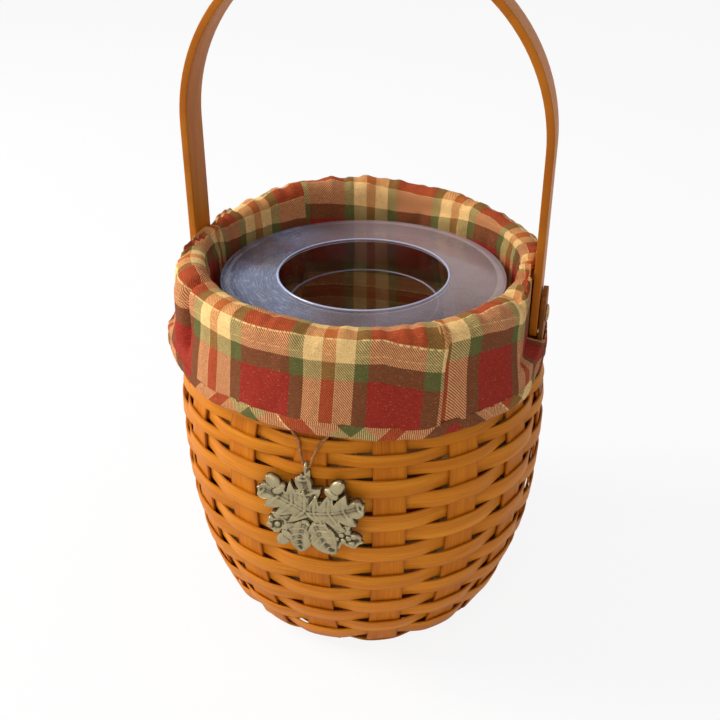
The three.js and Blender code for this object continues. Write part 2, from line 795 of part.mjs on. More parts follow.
function acornPieces() {
  const nut = new THREE.SphereGeometry(1, 7, 5);
  nut.scale(3.6, 5, 2.6);
  const cap = new THREE.CylinderGeometry(2.2, 4.2, 3.2, 7);
  cap.scale(1, 1, 0.75);
  cap.translate(0, 3.6, 0);
  return [nut, cap];
}

function ornamentGeometry() {
  const leaves = ornamentLeaves.flatMap(({ length, halfWidth, lobes, x, z, turn: leafTurn, forward }) => (
    leafGeometry(length, halfWidth, lobes, ornamentThickness).map((piece) => (
      onOrnament(piece, x, z, leafTurn, forward)
    ))
  ));
  const boss = new THREE.CylinderGeometry(6, 8, ornamentThickness * 1.4, 8);
  boss.rotateX(Math.PI / 2);
  boss.translate(0, 1, ornamentThickness * 0.7);
  const acorns = ornamentAcorns.flatMap(({ x, z, turn: acornTurn }) => (
    acornPieces().map((piece) => onOrnament(piece, x, z, acornTurn, ornamentThickness))
  ));
  const berries = ornamentBerries.map(([x, z]) => {
    const berry = new THREE.SphereGeometry(berryRadius, 6, 4);
    return onOrnament(berry, x, z, 0, ornamentThickness);
  });
  const neck = new THREE.BoxGeometry(3, drawnWidth / 2 - 14, ornamentThickness);
  neck.translate(0, drawnWidth / 4 + 7, ornamentThickness / 2);
  const leavesAndFruit = [boss, ...leaves, ...acorns, ...berries, neck];
  leavesAndFruit.forEach((piece) => piece.scale(ornamentScale, ornamentScale, 1));
  const eye = new THREE.TorusGeometry(eyeRadius, eyeWire, 5, 10);
  eye.rotateY(Math.PI / 2);
  eye.translate(0, ornamentTop - ornamentCentre + eyeRadius, ornamentThickness / 2 + eyeWire / 2);
  const cast = join([...leavesAndFruit, eye]);
  const back = new THREE.BoxGeometry(2 * ornamentWidth, 2 * ornamentWidth, 20);
  back.translate(0, 0, -10);
  const flatBacked = cut(cast, [back]);
  flatBacked.rotateX(Math.PI / 2);
  flatBacked.translate(0, -ornamentBack, ornamentCentre);
  return flatBacked;
}

place('ornament', ornamentGeometry(), 'pewter');

// The lace goes round the front upright between two rows, and both ends meet in the eye

function lacePoint(out, across) {
  const flat = laceWall.middle.clone().addScaledVector(laceWall.out, out);
  return new THREE.Vector3(across, -flat.x, flat.y);
}

function laceTube(points, steps) {
  const circle = new THREE.Shape(Array.from({ length: laceSides }, (_, i) => {
    const angle = (2 * Math.PI * i) / laceSides;
    return new THREE.Vector2(laceRadius * Math.cos(angle), laceRadius * Math.sin(angle));
  }));
  const path = new THREE.CatmullRomCurve3(points, false, 'centripetal');
  return new THREE.ExtrudeGeometry(circle, {
    steps, curveSegments: 1, bevelEnabled: false, extrudePath: path,
  });
}

const laceBehind = -(splintThickness / 2 + lay + laceRadius);
const laceFront = passOffset + weaverThickness / 2 + 0.6;
const loopHalf = [
  [laceFront, laceReach],
  [laceFront / 2, laceReach],
  [0, laceReach],
  [laceBehind * 0.8, laceReach - 0.6],
  [laceBehind, laceReach - 1.8],
  [laceBehind, laceReach / 2],
];
place('lace_loop', laceTube([
  ...loopHalf.map(([out, across]) => lacePoint(out, across)),
  ...[...loopHalf].reverse().map(([out, across]) => lacePoint(out, -across)),
], 22), 'lace');

const eyeCentre = new THREE.Vector3(
  0, -(ornamentBack + ornamentThickness / 2 + eyeWire / 2), ornamentTop + eyeRadius,
);
const laceSeat = eyeCentre.clone().add(new THREE.Vector3(0, 0, eyeRadius - eyeWire - laceRadius - lay));
const fallHalf = [
  lacePoint(laceFront + lay, laceReach),
  lacePoint(laceFront + lay + 0.8, laceReach).add(new THREE.Vector3(-0.2, 0, -0.5)),
  lacePoint(laceFront + lay + 1.6, laceReach - 1.4).add(new THREE.Vector3(0, -0.6, -3.4)),
  laceSeat.clone().add(new THREE.Vector3(laceReach * 0.35, 1.6, 5.6)),
  laceSeat.clone().add(new THREE.Vector3(1.8, 0.2, 0.7)),
];
const mirrored = [...fallHalf].reverse().map((p) => new THREE.Vector3(-p.x, p.y, p.z));
place('lace_fall', laceTube([...fallHalf, laceSeat, ...mirrored], 24), 'lace');

export default basket;
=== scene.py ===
import math
import random

import bmesh
import bpy
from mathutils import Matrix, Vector, geometry, noise


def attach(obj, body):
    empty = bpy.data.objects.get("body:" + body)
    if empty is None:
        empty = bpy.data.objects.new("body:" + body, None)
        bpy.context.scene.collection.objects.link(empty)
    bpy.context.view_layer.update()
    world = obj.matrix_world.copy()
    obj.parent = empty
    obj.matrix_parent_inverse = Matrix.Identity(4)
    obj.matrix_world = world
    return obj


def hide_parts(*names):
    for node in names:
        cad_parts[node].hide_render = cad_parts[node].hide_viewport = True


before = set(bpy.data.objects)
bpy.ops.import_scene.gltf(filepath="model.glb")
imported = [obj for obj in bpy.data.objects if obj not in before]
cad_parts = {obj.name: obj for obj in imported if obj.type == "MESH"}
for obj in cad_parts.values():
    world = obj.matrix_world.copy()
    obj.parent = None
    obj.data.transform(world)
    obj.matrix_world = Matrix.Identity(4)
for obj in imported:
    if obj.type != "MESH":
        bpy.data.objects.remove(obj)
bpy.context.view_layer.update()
random.seed(7)

# A round splint basket with a plaid liner, a clear insert, a swing handle and a cast tie-on.
# Metres, +Z up. The tie-on hangs at the front, towards -Y, and the handle pivots along X.

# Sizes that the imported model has
mm = 0.001
upright_count = 16
pitch_angle = 2 * math.pi / upright_count
base_radius = 78.2 * mm
base_edge_height = 8 * mm
base_flat_radius = 64 * mm
base_middle = 2.1 * mm
belly_radius = 95.9 * mm
belly_height = 115 * mm
neck_radius = 84.2 * mm
neck_height = 170.5 * mm
rim_top = 194 * mm
rim_bottom = 171.5 * mm
band_thickness = 2.0 * mm
splint_width = 16 * mm
splint_centre_width = 9 * mm
splint_thickness = 1.2 * mm
cross_radius = 25 * mm
settle_radius = 47 * mm
layer_step = 1.5 * mm
weaver_thickness = 1.0 * mm
wide_weaver = 9.5 * mm
narrow_weaver = 6.1 * mm
edge_weaver = 4.6 * mm
row_gap = 0.4 * mm
lace_gap = 1.5 * mm
wide_rows = 12
narrow_rows = 7
base_rows = 3
rows_below_lace = 16
base_row_radius = 52.5 * mm
pass_offset = 1.6 * mm
ear_bulge = 1.3 * mm
band_slack = 0.3 * mm
arm_middle = 89.6 * mm
arch_centre = 258.5 * mm
handle_end = 164.5 * mm
handle_width = 19 * mm
handle_end_width = 11 * mm
handle_thickness = 3.8 * mm
pivot_height = 175 * mm
ear_tail_bottom = 132 * mm
tuck_top = 157.56 * mm
ear_width = 17 * mm
ear_top = 189 * mm
ear_middle = 93.25 * mm
ear_outside = 94.4 * mm
rim_tacks = 6
ornament_back = 98.4 * mm
ornament_height = 103 * mm
eye_height = ornament_height + 29.3 * mm
eye_forward = 1.6 * mm


# Helpers for modelling as by hand

def deselect():
    if bpy.context.object and bpy.context.object.mode != "OBJECT":
        bpy.ops.object.mode_set(mode="OBJECT")
    bpy.ops.object.select_all(action="DESELECT")


def only(obj):
    deselect()
    obj.select_set(True)
    bpy.context.view_layer.objects.active = obj
    return obj


def added(name):
    """The primitive that was just added, with its place put into its mesh."""
    obj = bpy.context.object
    only(obj)
    bpy.ops.object.transform_apply(location=True, rotation=True, scale=True)
    obj.name = name
    obj.data.name = name
    return obj


def editing(obj, kind):
    """Goes into edit mode with nothing selected."""
    only(obj)
    bpy.ops.object.mode_set(mode="EDIT")
    bpy.ops.mesh.select_mode(type=kind)
    bpy.ops.mesh.select_all(action="DESELECT")
    return bmesh.from_edit_mesh(obj.data)


def done():
    bpy.ops.object.mode_set(mode="OBJECT")


def pick(obj, test):
    """Goes into edit mode with the vertices chosen by their place."""
    mesh = editing(obj, "VERT")
    for vertex in mesh.verts:
        vertex.select_set(bool(test(vertex.co)))
    mesh.select_flush(True)
    bmesh.update_edit_mesh(obj.data)


def without(obj, chosen):
    """Takes out the faces that a rule chooses."""
    marks = [chosen(face) for face in obj.data.polygons]
    mesh = editing(obj, "FACE")
    for face, marked in zip(mesh.faces, marks):
        face.select_set(marked)
    bmesh.update_edit_mesh(obj.data)
    bpy.ops.mesh.delete(type="FACE")
    done()


def extrude(move, scale=None, centre=(0, 0, 0)):
    bpy.ops.mesh.extrude_region_move(TRANSFORM_OT_translate={"value": move})
    if scale:
        bpy.ops.transform.resize(value=scale, center_override=centre)


def modified(obj, kind, **settings):
    only(obj)
    modifier = obj.modifiers.new(kind.lower(), kind)
    for name, value in settings.items():
        setattr(modifier, name, value)
    bpy.ops.object.modifier_apply(modifier=modifier.name)
    return obj


def mended(obj):
    """Merges doubles and turns the faces outwards."""
    only(obj)
    bpy.ops.object.mode_set(mode="EDIT")
    bpy.ops.mesh.select_all(action="SELECT")
    bpy.ops.mesh.remove_doubles(threshold=1e-5)
    bpy.ops.mesh.dissolve_degenerate(threshold=1e-6)
    bpy.ops.mesh.normals_make_consistent(inside=False)
    done()
    return obj


def smooth(obj, degrees=40):
    only(obj)
    bpy.ops.object.shade_smooth_by_angle(angle=math.radians(degrees))
    return obj


def shaped(obj, move):
    """Moves each vertex to where a rule puts it."""
    for vertex in obj.data.vertices:
        vertex.co = move(vertex.co.copy())
    obj.data.update()
    return obj


def bevelled(obj, width, segments, sharp=50):
    """Rounds the edges where the faces turn by more degrees than sharp."""
    limit = math.radians(sharp)
    modified(obj, "BEVEL", width=width, segments=segments, limit_method="ANGLE", angle_limit=limit)
    return smooth(obj)


def strip(obj, thickness):
    """Gives an open ribbon its thickness and eased edges."""
    modified(obj, "SOLIDIFY", thickness=thickness, offset=0, use_even_offset=True)
    return bevelled(obj, 0.22 * mm, 2)


def unroll(obj, place):
    """Lays a UV map by a rule that takes a corner's place and its face's middle."""
    layer = obj.data.uv_layers.get("UVMap") or obj.data.uv_layers.new(name="UVMap")
    obj.data.uv_layers.active = layer
    shift = random.uniform(0, 20)
    for face in obj.data.polygons:
        for corner in face.loop_indices:
            co = obj.data.vertices[obj.data.loops[corner].vertex_index].co
            along, across = place(co, face.center)
            layer.data[corner].uv = (along + shift, across)
    return obj


def near_angle(co, centre):
    """A vertex's angle round the Z axis, unbroken across its face."""
    angle = math.atan2(co.y, co.x)
    middle = math.atan2(centre.y, centre.x)
    return angle - 2 * math.pi * round((angle - middle) / (2 * math.pi))


def put(obj, rotation, location=(0, 0, 0)):
    """Turns and moves a mesh, and leaves its object at the origin."""
    only(obj)
    obj.rotation_euler = rotation
    obj.location = location
    bpy.ops.object.transform_apply(location=True, rotation=True, scale=True)
    return obj


def ring_at(angle):
    """The point of a unit circle at an angle in radians."""
    return Vector((math.cos(angle), math.sin(angle), 0))


def finished(obj, body, slot, finish, *nodes):
    obj.data.materials.clear()
    obj.data.materials.append(finish)
    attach(obj, body)
    if nodes:
        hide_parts(*nodes)
    return obj


# The side of the basket, as its length up from the base edge

def bend(points, count):
    """Points along a curve with two handles, each point as radius and height."""
    knots = [Vector((r, z, 0)) for r, z in points]
    return [Vector((p.x, p.y)) for p in geometry.interpolate_bezier(*knots, count)]


turn_line = bend([
    (base_flat_radius, base_middle), (base_radius - 5 * mm, base_middle),
    (base_radius - 1.4 * mm, base_middle + 1 * mm), (base_radius, base_edge_height),
], 200)
lower_line = bend([
    (base_radius, base_edge_height), (base_radius + 13.6 * mm, base_edge_height + 34 * mm),
    (belly_radius, belly_height - 54 * mm), (belly_radius, belly_height),
], 300)
upper_line = bend([
    (belly_radius, belly_height), (belly_radius, belly_height + 30 * mm),
    (neck_radius, neck_height - 13 * mm), (neck_radius, neck_height),
], 300)


class Profile:
    """A smooth line whose points are found by their length along it."""

    def __init__(self, points):
        self.points = points
        self.lengths = [0.0]
        for before, after in zip(points, points[1:]):
            self.lengths.append(self.lengths[-1] + (after - before).length)
        self.total = self.lengths[-1]

    def at(self, length):
        length = min(max(length, 0), self.total)
        low, high = 0, len(self.points) - 1
        while high - low > 1:
            half = (low + high) // 2
            if self.lengths[half] <= length:
                low = half
            else:
                high = half
        span = self.lengths[high] - self.lengths[low]
        share = (length - self.lengths[low]) / span if span else 0
        along = (self.points[high] - self.points[low]).normalized()
        return self.points[low].lerp(self.points[high], share), along


side = Profile(lower_line + upper_line[1:])
turn = Profile(turn_line)


def wall_radius(height):
    if height >= neck_height:
        return neck_radius
    for before, after in zip(side.points, side.points[1:]):
        if after.y >= height:
            share = (height - before.y) / (after.y - before.y)
            return before.x + (after.x - before.x) * max(share, 0)
    return neck_radius


# Shader helpers

class Socket:
    """An output of a node that takes part in sums and products."""

    def __init__(self, finish, socket):
        self.finish = finish
        self.socket = socket

    def math(self, operation, *others):
        return self.finish.node("Math", dict(enumerate((self, *others))), operation=operation)

    def __add__(self, other): return self.math("ADD", other)
    def __radd__(self, other): return self.math("ADD", other)
    def __sub__(self, other): return self.math("SUBTRACT", other)
    def __rsub__(self, other): return self.finish.node("Math", {0: other, 1: self}, operation="SUBTRACT")
    def __mul__(self, other): return self.math("MULTIPLY", other)
    def __rmul__(self, other): return self.math("MULTIPLY", other)
    def __truediv__(self, other): return self.math("DIVIDE", other)
    def __rtruediv__(self, other): return self.finish.node("Math", {0: other, 1: self}, operation="DIVIDE")
    def __pow__(self, other): return self.math("POWER", other)
    def __rpow__(self, other): return self.finish.node("Math", {0: other, 1: self}, operation="POWER")
    def sine(self): return self.math("SINE")
    def fraction(self): return self.math("FRACT")
    def floor(self): return self.math("FLOOR")
    def size(self): return self.math("ABSOLUTE")
    def most(self, other): return self.math("MAXIMUM", other)
    def least(self, other): return self.math("MINIMUM", other)

    def ramp(self, low, high):
        """Runs smoothly from 0 at low to 1 at high."""
        return self.finish.node("MapRange", {0: self, 1: low, 2: high, 3: 0.0, 4: 1.0},
                                interpolation_type="SMOOTHSTEP")


class Finish:
    """A material that is built node by node."""

    def __init__(self, name):
        self.material = bpy.data.materials.new(name)
        self.material.use_nodes = True
        self.tree = self.material.node_tree
        self.shader = self.tree.nodes["Principled BSDF"]

    def node(self, kind, inputs=None, stops=None, output=0, **settings):
        node = self.tree.nodes.new("ShaderNode" + kind)
        for name, value in settings.items():
            setattr(node, name, value)
        if stops:
            ramp = node.color_ramp
            ramp.interpolation = stops[0]
            while len(ramp.elements) < len(stops) - 1:
                ramp.elements.new(1.0)
            for element, (place, colour) in zip(ramp.elements, stops[1:]):
                element.position = place
                element.color = (*colour, 1)
        for key, value in (inputs or {}).items():
            self.feed(node.inputs[key], value)
        return Socket(self, node.outputs[output])

    def feed(self, socket, value):
        if isinstance(value, Socket):
            self.tree.links.new(value.socket, socket)
        else:
            socket.default_value = value

    def blend(self, factor, first, second, kind="MIX"):
        inputs = {0: factor, 6: colour_of(first), 7: colour_of(second)}
        return self.node("Mix", inputs, output=2, data_type="RGBA", blend_type=kind)

    def parts(self, vector):
        """A vector's three numbers."""
        x = self.node("SeparateXYZ", {0: vector})
        return x, *(Socket(self, x.socket.node.outputs[i]) for i in (1, 2))

    def unrolled(self):
        """The piece's own UV map as two numbers."""
        return self.parts(self.node("UVMap", uv_map="UVMap"))[:2]

    def object_place(self):
        return self.node("TexCoord", output=3)

    def vector(self, x, y=0.0, z=0.0):
        return self.node("CombineXYZ", {0: x, 1: y, 2: z})

    def noise(self, vector, scale=1.0, detail=2.0, roughness=0.5, distortion=0.0):
        return self.node("TexNoise", {"Vector": vector, "Scale": scale, "Detail": detail,
                                      "Roughness": roughness, "Distortion": distortion})

    def bump(self, height, strength, distance):
        return self.node("Bump", {"Height": height, "Strength": strength, "Distance": distance})

    def end(self, colour=None, roughness=None, normal=None, **constants):
        sockets = self.shader.inputs
        if colour is not None:
            self.feed(sockets["Base Color"], colour_of(colour))
        if roughness is not None:
            self.feed(sockets["Roughness"], roughness)
        if normal is not None:
            self.feed(sockets["Normal"], normal)
        for name, value in constants.items():
            sockets[name.replace("_", " ")].default_value = value
        return self.material


def colour_of(value):
    if isinstance(value, Socket) or len(value) == 4:
        return value
    return (*value, 1)


def paint(*colour):
    """Red, green and blue as they look on screen, from 0 to 255, as the shader wants them."""
    return tuple(((c / 255 + 0.055) / 1.055) ** 2.4 if c > 10 else c / 255 / 12.92 for c in colour)


def darker(colour, share):
    return [c * share for c in colour]


def wood(name, light, dark, half_width, gloss=0.5, coat=0.02):
    """Stained split wood with its grain along the strip."""
    finish = Finish(name)
    along, across = finish.unrolled()
    width = across * (half_width / mm)
    tone = finish.noise(finish.vector(along * 9, width * 0.12), detail=2)
    streak = finish.noise(finish.vector(along * 34, width * 1.5), detail=4, roughness=0.6, distortion=0.25)
    fibre = finish.noise(finish.vector(along * 160, width * 9), detail=3, roughness=0.65)
    pores = finish.noise(finish.vector(along * 300, width * 14), detail=1).ramp(0.64, 0.74)
    base = finish.blend((tone * 0.55 + streak * 0.55 - 0.05).ramp(0.3, 0.75), dark, light)
    base = finish.blend(fibre.ramp(0.3, 0.75) * 0.2, base, darker(dark, 0.6))
    base = finish.blend(pores * 0.3, base, darker(dark, 0.4))
    # The strips are darker along their edges: painted shade where the rows meet and lie against each other.
    rim = across.size().ramp(0.8, 1.02)
    base = finish.blend(rim * 0.42, base, darker(dark, 0.55))
    relief = fibre * 0.6 + streak * 0.7 - pores * 0.5
    normal = finish.bump(relief, 0.32, 0.0005)
    return finish.end(base, streak * 0.16 + (gloss - 0.06), normal, Coat_Weight=coat, Coat_Roughness=0.3,
                      Specular_IOR_Level=0.14)


handle_light, handle_dark = paint(232, 146, 34), paint(194, 106, 12)
weaver_wood = wood("stained weaver", paint(240, 152, 34), paint(198, 110, 12), wide_weaver / 2)
splint_wood = wood("stained upright", paint(228, 138, 20), paint(188, 98, 6), splint_width / 2)
handle_wood = wood("stained handle", handle_light, handle_dark, handle_width / 2, gloss=0.46, coat=0.04)
# The ears' wood is darker than the rest as painted shade, for the shadowed place of the ears beside the arms.
shade_painted_ear_wood = wood("ear wood darkened as painted shade", paint(178, 104, 26), paint(132, 70, 12), 8 * mm)
band_wood = wood("stained rim band", handle_light, handle_dark, 11 * mm)


# Uprights: eight long splints that cross in the base

def splint_stations():
    """The places that a splint's ribbon is drawn on to, from the base up to the rim."""
    line = [turn_line[i] for i in (0, 33, 66, 99, 133, 166, 199)]
    for part, count in ((Profile(lower_line), 8), (Profile(upper_line), 9)):
        line += [part.at(part.total * (i + 1) / count)[0] for i in range(count)]
    return line + [Vector((neck_radius, rim_top - 0.5 * mm))]


def long_splint():
    """One splint along X with its middle on the lowest layer of the crossing."""
    low = splint_thickness / 2
    bpy.ops.mesh.primitive_plane_add(size=1, location=(cross_radius / 2, 0, low))
    bpy.context.object.scale = (cross_radius, splint_centre_width, 1)
    obj = added("splint")
    pick(obj, lambda co: co.x > cross_radius / 2)
    wide = splint_width / splint_centre_width
    halfway = (1 + wide) / 2
    before = Vector((cross_radius, low))
    settled = Vector((settle_radius, base_middle))
    stations = [(before.lerp(settled, 0.5), halfway), (settled, wide / halfway)]
    stations += [(station, 1) for station in splint_stations()]
    for station, widened in stations:
        extrude((station.x - before.x, 0, station.y - before.y), (1, widened, 1))
        before = station
    done()
    modified(obj, "MIRROR", use_axis=(True, False, False), use_mirror_merge=True, merge_threshold=1e-5)
    return obj


def upright_splint(pattern, index):
    """A copy of the pattern, raised to its own layer in the middle and turned to its place."""
    obj = pattern.copy()
    obj.data = pattern.data.copy()
    bpy.context.scene.collection.objects.link(obj)
    obj.name = obj.data.name = f"upright_splint_{index + 1}"

    def raised(co):
        share = min(max((settle_radius - abs(co.x)) / (settle_radius - cross_radius), 0), 1)
        co.z += index * layer_step * share
        return co

    shaped(obj, raised)
    modified(obj, "SUBSURF", levels=2, render_levels=2)
    strip(obj, splint_thickness)
    unroll(obj, lambda co, centre: (math.copysign(abs(co.x) + co.z, co.x), co.y / (splint_width / 2)))
    put(obj, (0, 0, index * pitch_angle))
    return finished(obj, "basket", "splint", splint_wood, f"splint_{index + 1}")


pattern = long_splint()
for index in range(upright_count // 2):
    upright_splint(pattern, index)
bpy.data.objects.remove(pattern)


# Weavers: each row is a hoop that passes over and under the uprights in turn

hoop_sides = 96
half_side = math.pi / hoop_sides
flat_share, crossing_share = 0.62, 0.42
pass_levels = (1.0, crossing_share, -crossing_share, -1.0)


def nearest_upright(co):
    """A point's place round the basket counted in uprights, and the upright that it is nearest to."""
    turns = math.atan2(co.y, co.x) / pitch_angle
    return turns, round(turns)


def stands_at(co, phase, level):
    """Whether a hoop stands out this far here, from 1 on an over pass to -1 on an under pass."""
    turns, upright = nearest_upright(co)
    share = 1.0 if abs(turns - upright) * 2 < flat_share else crossing_share
    over = (upright + phase) % 2 == 0
    return (share if over else -share) == level


def hoop(name, middle, along, width, phase):
    """A closed row of the wall, leaned with the basket's side and swelled round the ears' tails."""
    lean, rise = along.x * width / 2, along.y * width
    bpy.ops.mesh.primitive_cone_add(
        vertices=hoop_sides, radius1=middle.x - lean, radius2=middle.x + lean, depth=rise,
        end_fill_type="NOTHING", location=(0, 0, middle.y), rotation=(0, 0, half_side))
    obj = added(name)
    ear_row = middle.y - rise / 2 < tuck_top and middle.y + rise / 2 > ear_tail_bottom
    for level in pass_levels:
        for ear in (False, True) if ear_row and level > 0 else (False,):
            def chosen(co):
                over_ear = ear_row and level > 0 and nearest_upright(co)[1] % (upright_count // 2) == 0
                return stands_at(co, phase, level) and over_ear == ear

            pick(obj, chosen)
            reach = level * (pass_offset + (ear_bulge if ear else 0))
            grow = 1 + reach * along.y / middle.x
            bpy.ops.transform.resize(value=(grow, grow, 1), center_override=(0, 0, middle.y))
            bpy.ops.transform.translate(value=(0, 0, -reach * along.x))
            done()
    modified(obj, "SUBSURF", levels=1, render_levels=1)
    seed = random.uniform(0, 50)
    wave_height, wave_depth = 0.35 * mm, 0.12 * mm

    def uneven(co):
        place = ring_at(math.atan2(co.y, co.x)) * 2.2 + Vector((0, 0, seed))
        grow = 1 + noise.noise(place * 1.7) * wave_depth / middle.x
        return Vector((co.x * grow, co.y * grow, co.z + noise.noise(place) * wave_height))

    shaped(obj, uneven)
    strip(obj, weaver_thickness)
    unroll(obj, lambda co, centre: (near_angle(co, centre) * middle.x, (co.z - middle.y) / (rise / 2)))
    return obj


row_start = 0.0
for row in range(wide_rows + narrow_rows):
    width = wide_weaver if row < wide_rows else narrow_weaver
    if row == rows_below_lace:
        lace_length = row_start + (lace_gap - row_gap) / 2
        row_start += lace_gap
    middle, along = side.at(row_start + width / 2)
    kind = f"wide_weaver_{row + 1}" if row < wide_rows else f"narrow_weaver_{row - wide_rows + 1}"
    weaver = hoop(f"woven_{kind}", middle, along, width, row)
    finished(weaver, "basket", "weaver", weaver_wood, kind)
    row_start += width + row_gap

edge_row = hoop("woven_edge_weaver", *turn.at(turn.total * 0.5), edge_weaver, base_rows)
finished(edge_row, "basket", "weaver", weaver_wood, "edge_weaver")


def base_hoop(name, radius, phase):
    """A flat row of the base, which passes below and above the spokes in turn."""
    inside, outside = radius - narrow_weaver / 2, radius + narrow_weaver / 2
    bpy.ops.mesh.primitive_circle_add(vertices=hoop_sides, radius=inside, fill_type="NOTHING",
                                      location=(0, 0, base_middle), rotation=(0, 0, half_side))
    obj = added(name)
    pick(obj, lambda co: True)
    grow = outside / inside
    bpy.ops.mesh.extrude_edges_move(TRANSFORM_OT_translate={"value": (0, 0, 0)})
    bpy.ops.transform.resize(value=(grow, grow, 1), center_override=(0, 0, base_middle))
    done()
    for level in pass_levels:
        pick(obj, lambda co: stands_at(co, phase, level))
        bpy.ops.transform.translate(value=(0, 0, -level * pass_offset))
        done()
    modified(obj, "SUBSURF", levels=1, render_levels=1)
    strip(obj, weaver_thickness)
    unroll(obj, lambda co, centre: (near_angle(co, centre) * radius,
                                    (math.hypot(co.x, co.y) - radius) / (narrow_weaver / 2)))
    return obj


for row in range(base_rows):
    radius = base_row_radius + row * (narrow_weaver + row_gap)
    base_row = base_hoop(f"woven_base_weaver_{row + 1}", radius, row)
    finished(base_row, "basket", "weaver", weaver_wood, f"base_weaver_{row + 1}")


# Rim bands clasp the tops of the uprights

def rim_band(name, middle_radius, node):
    middle, half_band = (rim_top + rim_bottom) / 2, 11.3 * mm
    bpy.ops.mesh.primitive_cylinder_add(vertices=128, radius=middle_radius, depth=rim_top - rim_bottom,
                                        end_fill_type="NOTHING", location=(0, 0, middle))
    obj = added(name)
    modified(obj, "SOLIDIFY", thickness=band_thickness, offset=0)
    bevelled(obj, 0.6 * mm, 3)
    unroll(obj, lambda co, centre: (near_angle(co, centre) * middle_radius, (co.z - middle) / half_band))
    return finished(obj, "basket", "wood", band_wood, node)


band_reach = splint_thickness / 2 + band_slack + band_thickness / 2
rim_band("bent_rim_band_outer", neck_radius + band_reach + 0.15 * mm, "rim_band_outer")
rim_band("bent_rim_band_inner", neck_radius - band_reach, "rim_band_inner")


# Handle: a strip drawn up from its right end, bent over the top and down to its left end

def bent_handle():
    bpy.ops.mesh.primitive_plane_add(size=1, location=(arm_middle, 0, handle_end))
    bpy.context.object.scale = (handle_thickness, handle_end_width, 1)
    obj = added("bent_handle")
    pick(obj, lambda co: True)
    corner, half_end, half_strip = 4.5 * mm, handle_end_width / 2, handle_width / 2
    # Each station is its rise above the handle's end and half the strip's width there
    stations = [(0.0, half_end)]
    for share in (0.12, 0.3, 0.6, 1.0):
        rounded = math.sqrt(1 - (1 - share) ** 2)
        stations.append((corner * share, half_end + (half_strip - half_end) * rounded))
    for height in (pivot_height, 195 * mm, 222 * mm, arch_centre):
        stations.append((height - handle_end, half_strip))

    def drawn_along(line):
        for (rise, half), (next_rise, next_half) in zip(line, line[1:]):
            extrude((0, 0, next_rise - rise), (1, next_half / half, 1))

    drawn_along(stations)
    bpy.ops.mesh.spin(steps=56, angle=math.pi, center=(0, 0, arch_centre), axis=(0, 1, 0))
    drawn_along(stations[::-1])
    done()
    mended(obj)
    bevelled(obj, 1.15 * mm, 4, 46)
    smooth(obj, 35)

    def along_handle(co, centre):
        if co.z < arch_centre:
            length = co.z - arch_centre
            length = length if co.x > 0 else math.pi * arm_middle - length
        else:
            length = math.atan2(co.z - arch_centre, co.x) * arm_middle
        return length, co.y / (handle_width / 2)

    return unroll(obj, along_handle)


finished(bent_handle(), "handle", "wood", handle_wood, "handle")


# Ears: a shaved tail under the weavers, a crank and a flat tab outside the handle's arm

def ear(name, turned_by, node):
    tail, head, crank_rise, tail_width = 1.0 * mm, 2.3 * mm, 2.5 * mm, ear_width - 2 * mm

    def tail_place(share):
        height = ear_tail_bottom + (tuck_top - ear_tail_bottom) * share
        return Vector((wall_radius(height) + splint_thickness / 2 + band_slack + tail / 2, 0, height))

    before = tail_place(0)
    bpy.ops.mesh.primitive_plane_add(size=1, location=before)
    bpy.context.object.scale = (tail, tail_width, 1)
    obj = added(name)
    pick(obj, lambda co: True)
    for share in (0.25, 0.5, 0.75, 1.0):
        place = tail_place(share)
        extrude(place - before)
        before = place
    pivot, half = (ear_middle, 0, 0), ear_width / 2
    extrude((ear_middle - before.x, 0, crank_rise), (head / tail, ear_width / tail_width, 1), pivot)
    height, wide = tuck_top + crank_rise, half
    for share in (0, 0.3, 0.5, 0.68, 0.82, 0.92, 0.98):
        next_height = ear_top - half * (1 - share)
        next_wide = half * math.sqrt(1 - share ** 2)
        extrude((0, 0, next_height - height), (1, next_wide / wide, 1), pivot)
        height, wide = next_height, next_wide
    done()
    mended(obj)
    bevelled(obj, 0.4 * mm, 3)
    put(obj, (0, 0, turned_by))
    unroll(obj, lambda co, centre: (co.z, co.y / half))
    return finished(obj, "basket", "wood", shade_painted_ear_wood, node)


ear("tucked_ear_right", 0, "ear_right")
ear("tucked_ear_left", math.pi, "ear_left")


# Rivets and rim tacks

def section(*points):
    """An outline given as radius and height in millimetres."""
    return [(radius * mm, height * mm) for radius, height in points]


def turned(name, outline, steps):
    """Spins an outline round the Z axis."""
    bpy.ops.mesh.primitive_circle_add(vertices=len(outline), radius=1, fill_type="NOTHING")
    obj = added(name)
    for vertex, (radius, height) in zip(obj.data.vertices, outline):
        vertex.co = (radius, 0, height)
    pick(obj, lambda co: True)
    bpy.ops.mesh.spin(steps=steps, angle=2 * math.pi, center=(0, 0, 0), axis=(0, 0, 1))
    done()
    return mended(obj)


def brass_finish():
    finish = Finish("dulled brass")
    place = finish.object_place()
    cloud = finish.noise(place, scale=900, detail=3)
    base = finish.blend(cloud.ramp(0.35, 0.7), paint(120, 84, 44), paint(196, 150, 88))
    normal = finish.bump(cloud, 0.2, 0.0003)
    return finish.end(base, cloud * 0.3 + 0.25, normal, Metallic=1.0)


brass = brass_finish()
head = ear_outside / mm + 0.3
rivet_outline = section((0, 79.6), (2, 79.6), (2, head), (4.6, head), (4.65, head + 0.3), (4.3, head + 0.75),
                        (3.3, head + 1.15), (1.8, head + 1.36), (0, head + 1.42))
for name, turned_round in (("right", 0), ("left", math.pi)):
    rivet = turned(f"turned_rivet_{name}", rivet_outline, 40)
    put(rivet, (0, math.pi / 2, turned_round), (0, 0, pivot_height))
    smooth(rivet)
    finished(rivet, "basket", "brass", brass, f"rivet_{name}")
for i in range(rim_tacks):
    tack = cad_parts[f"rim_tack_{i + 1}"]
    tack.data.materials.clear()
    tack.data.materials.append(brass)


# Clear insert and ring lid

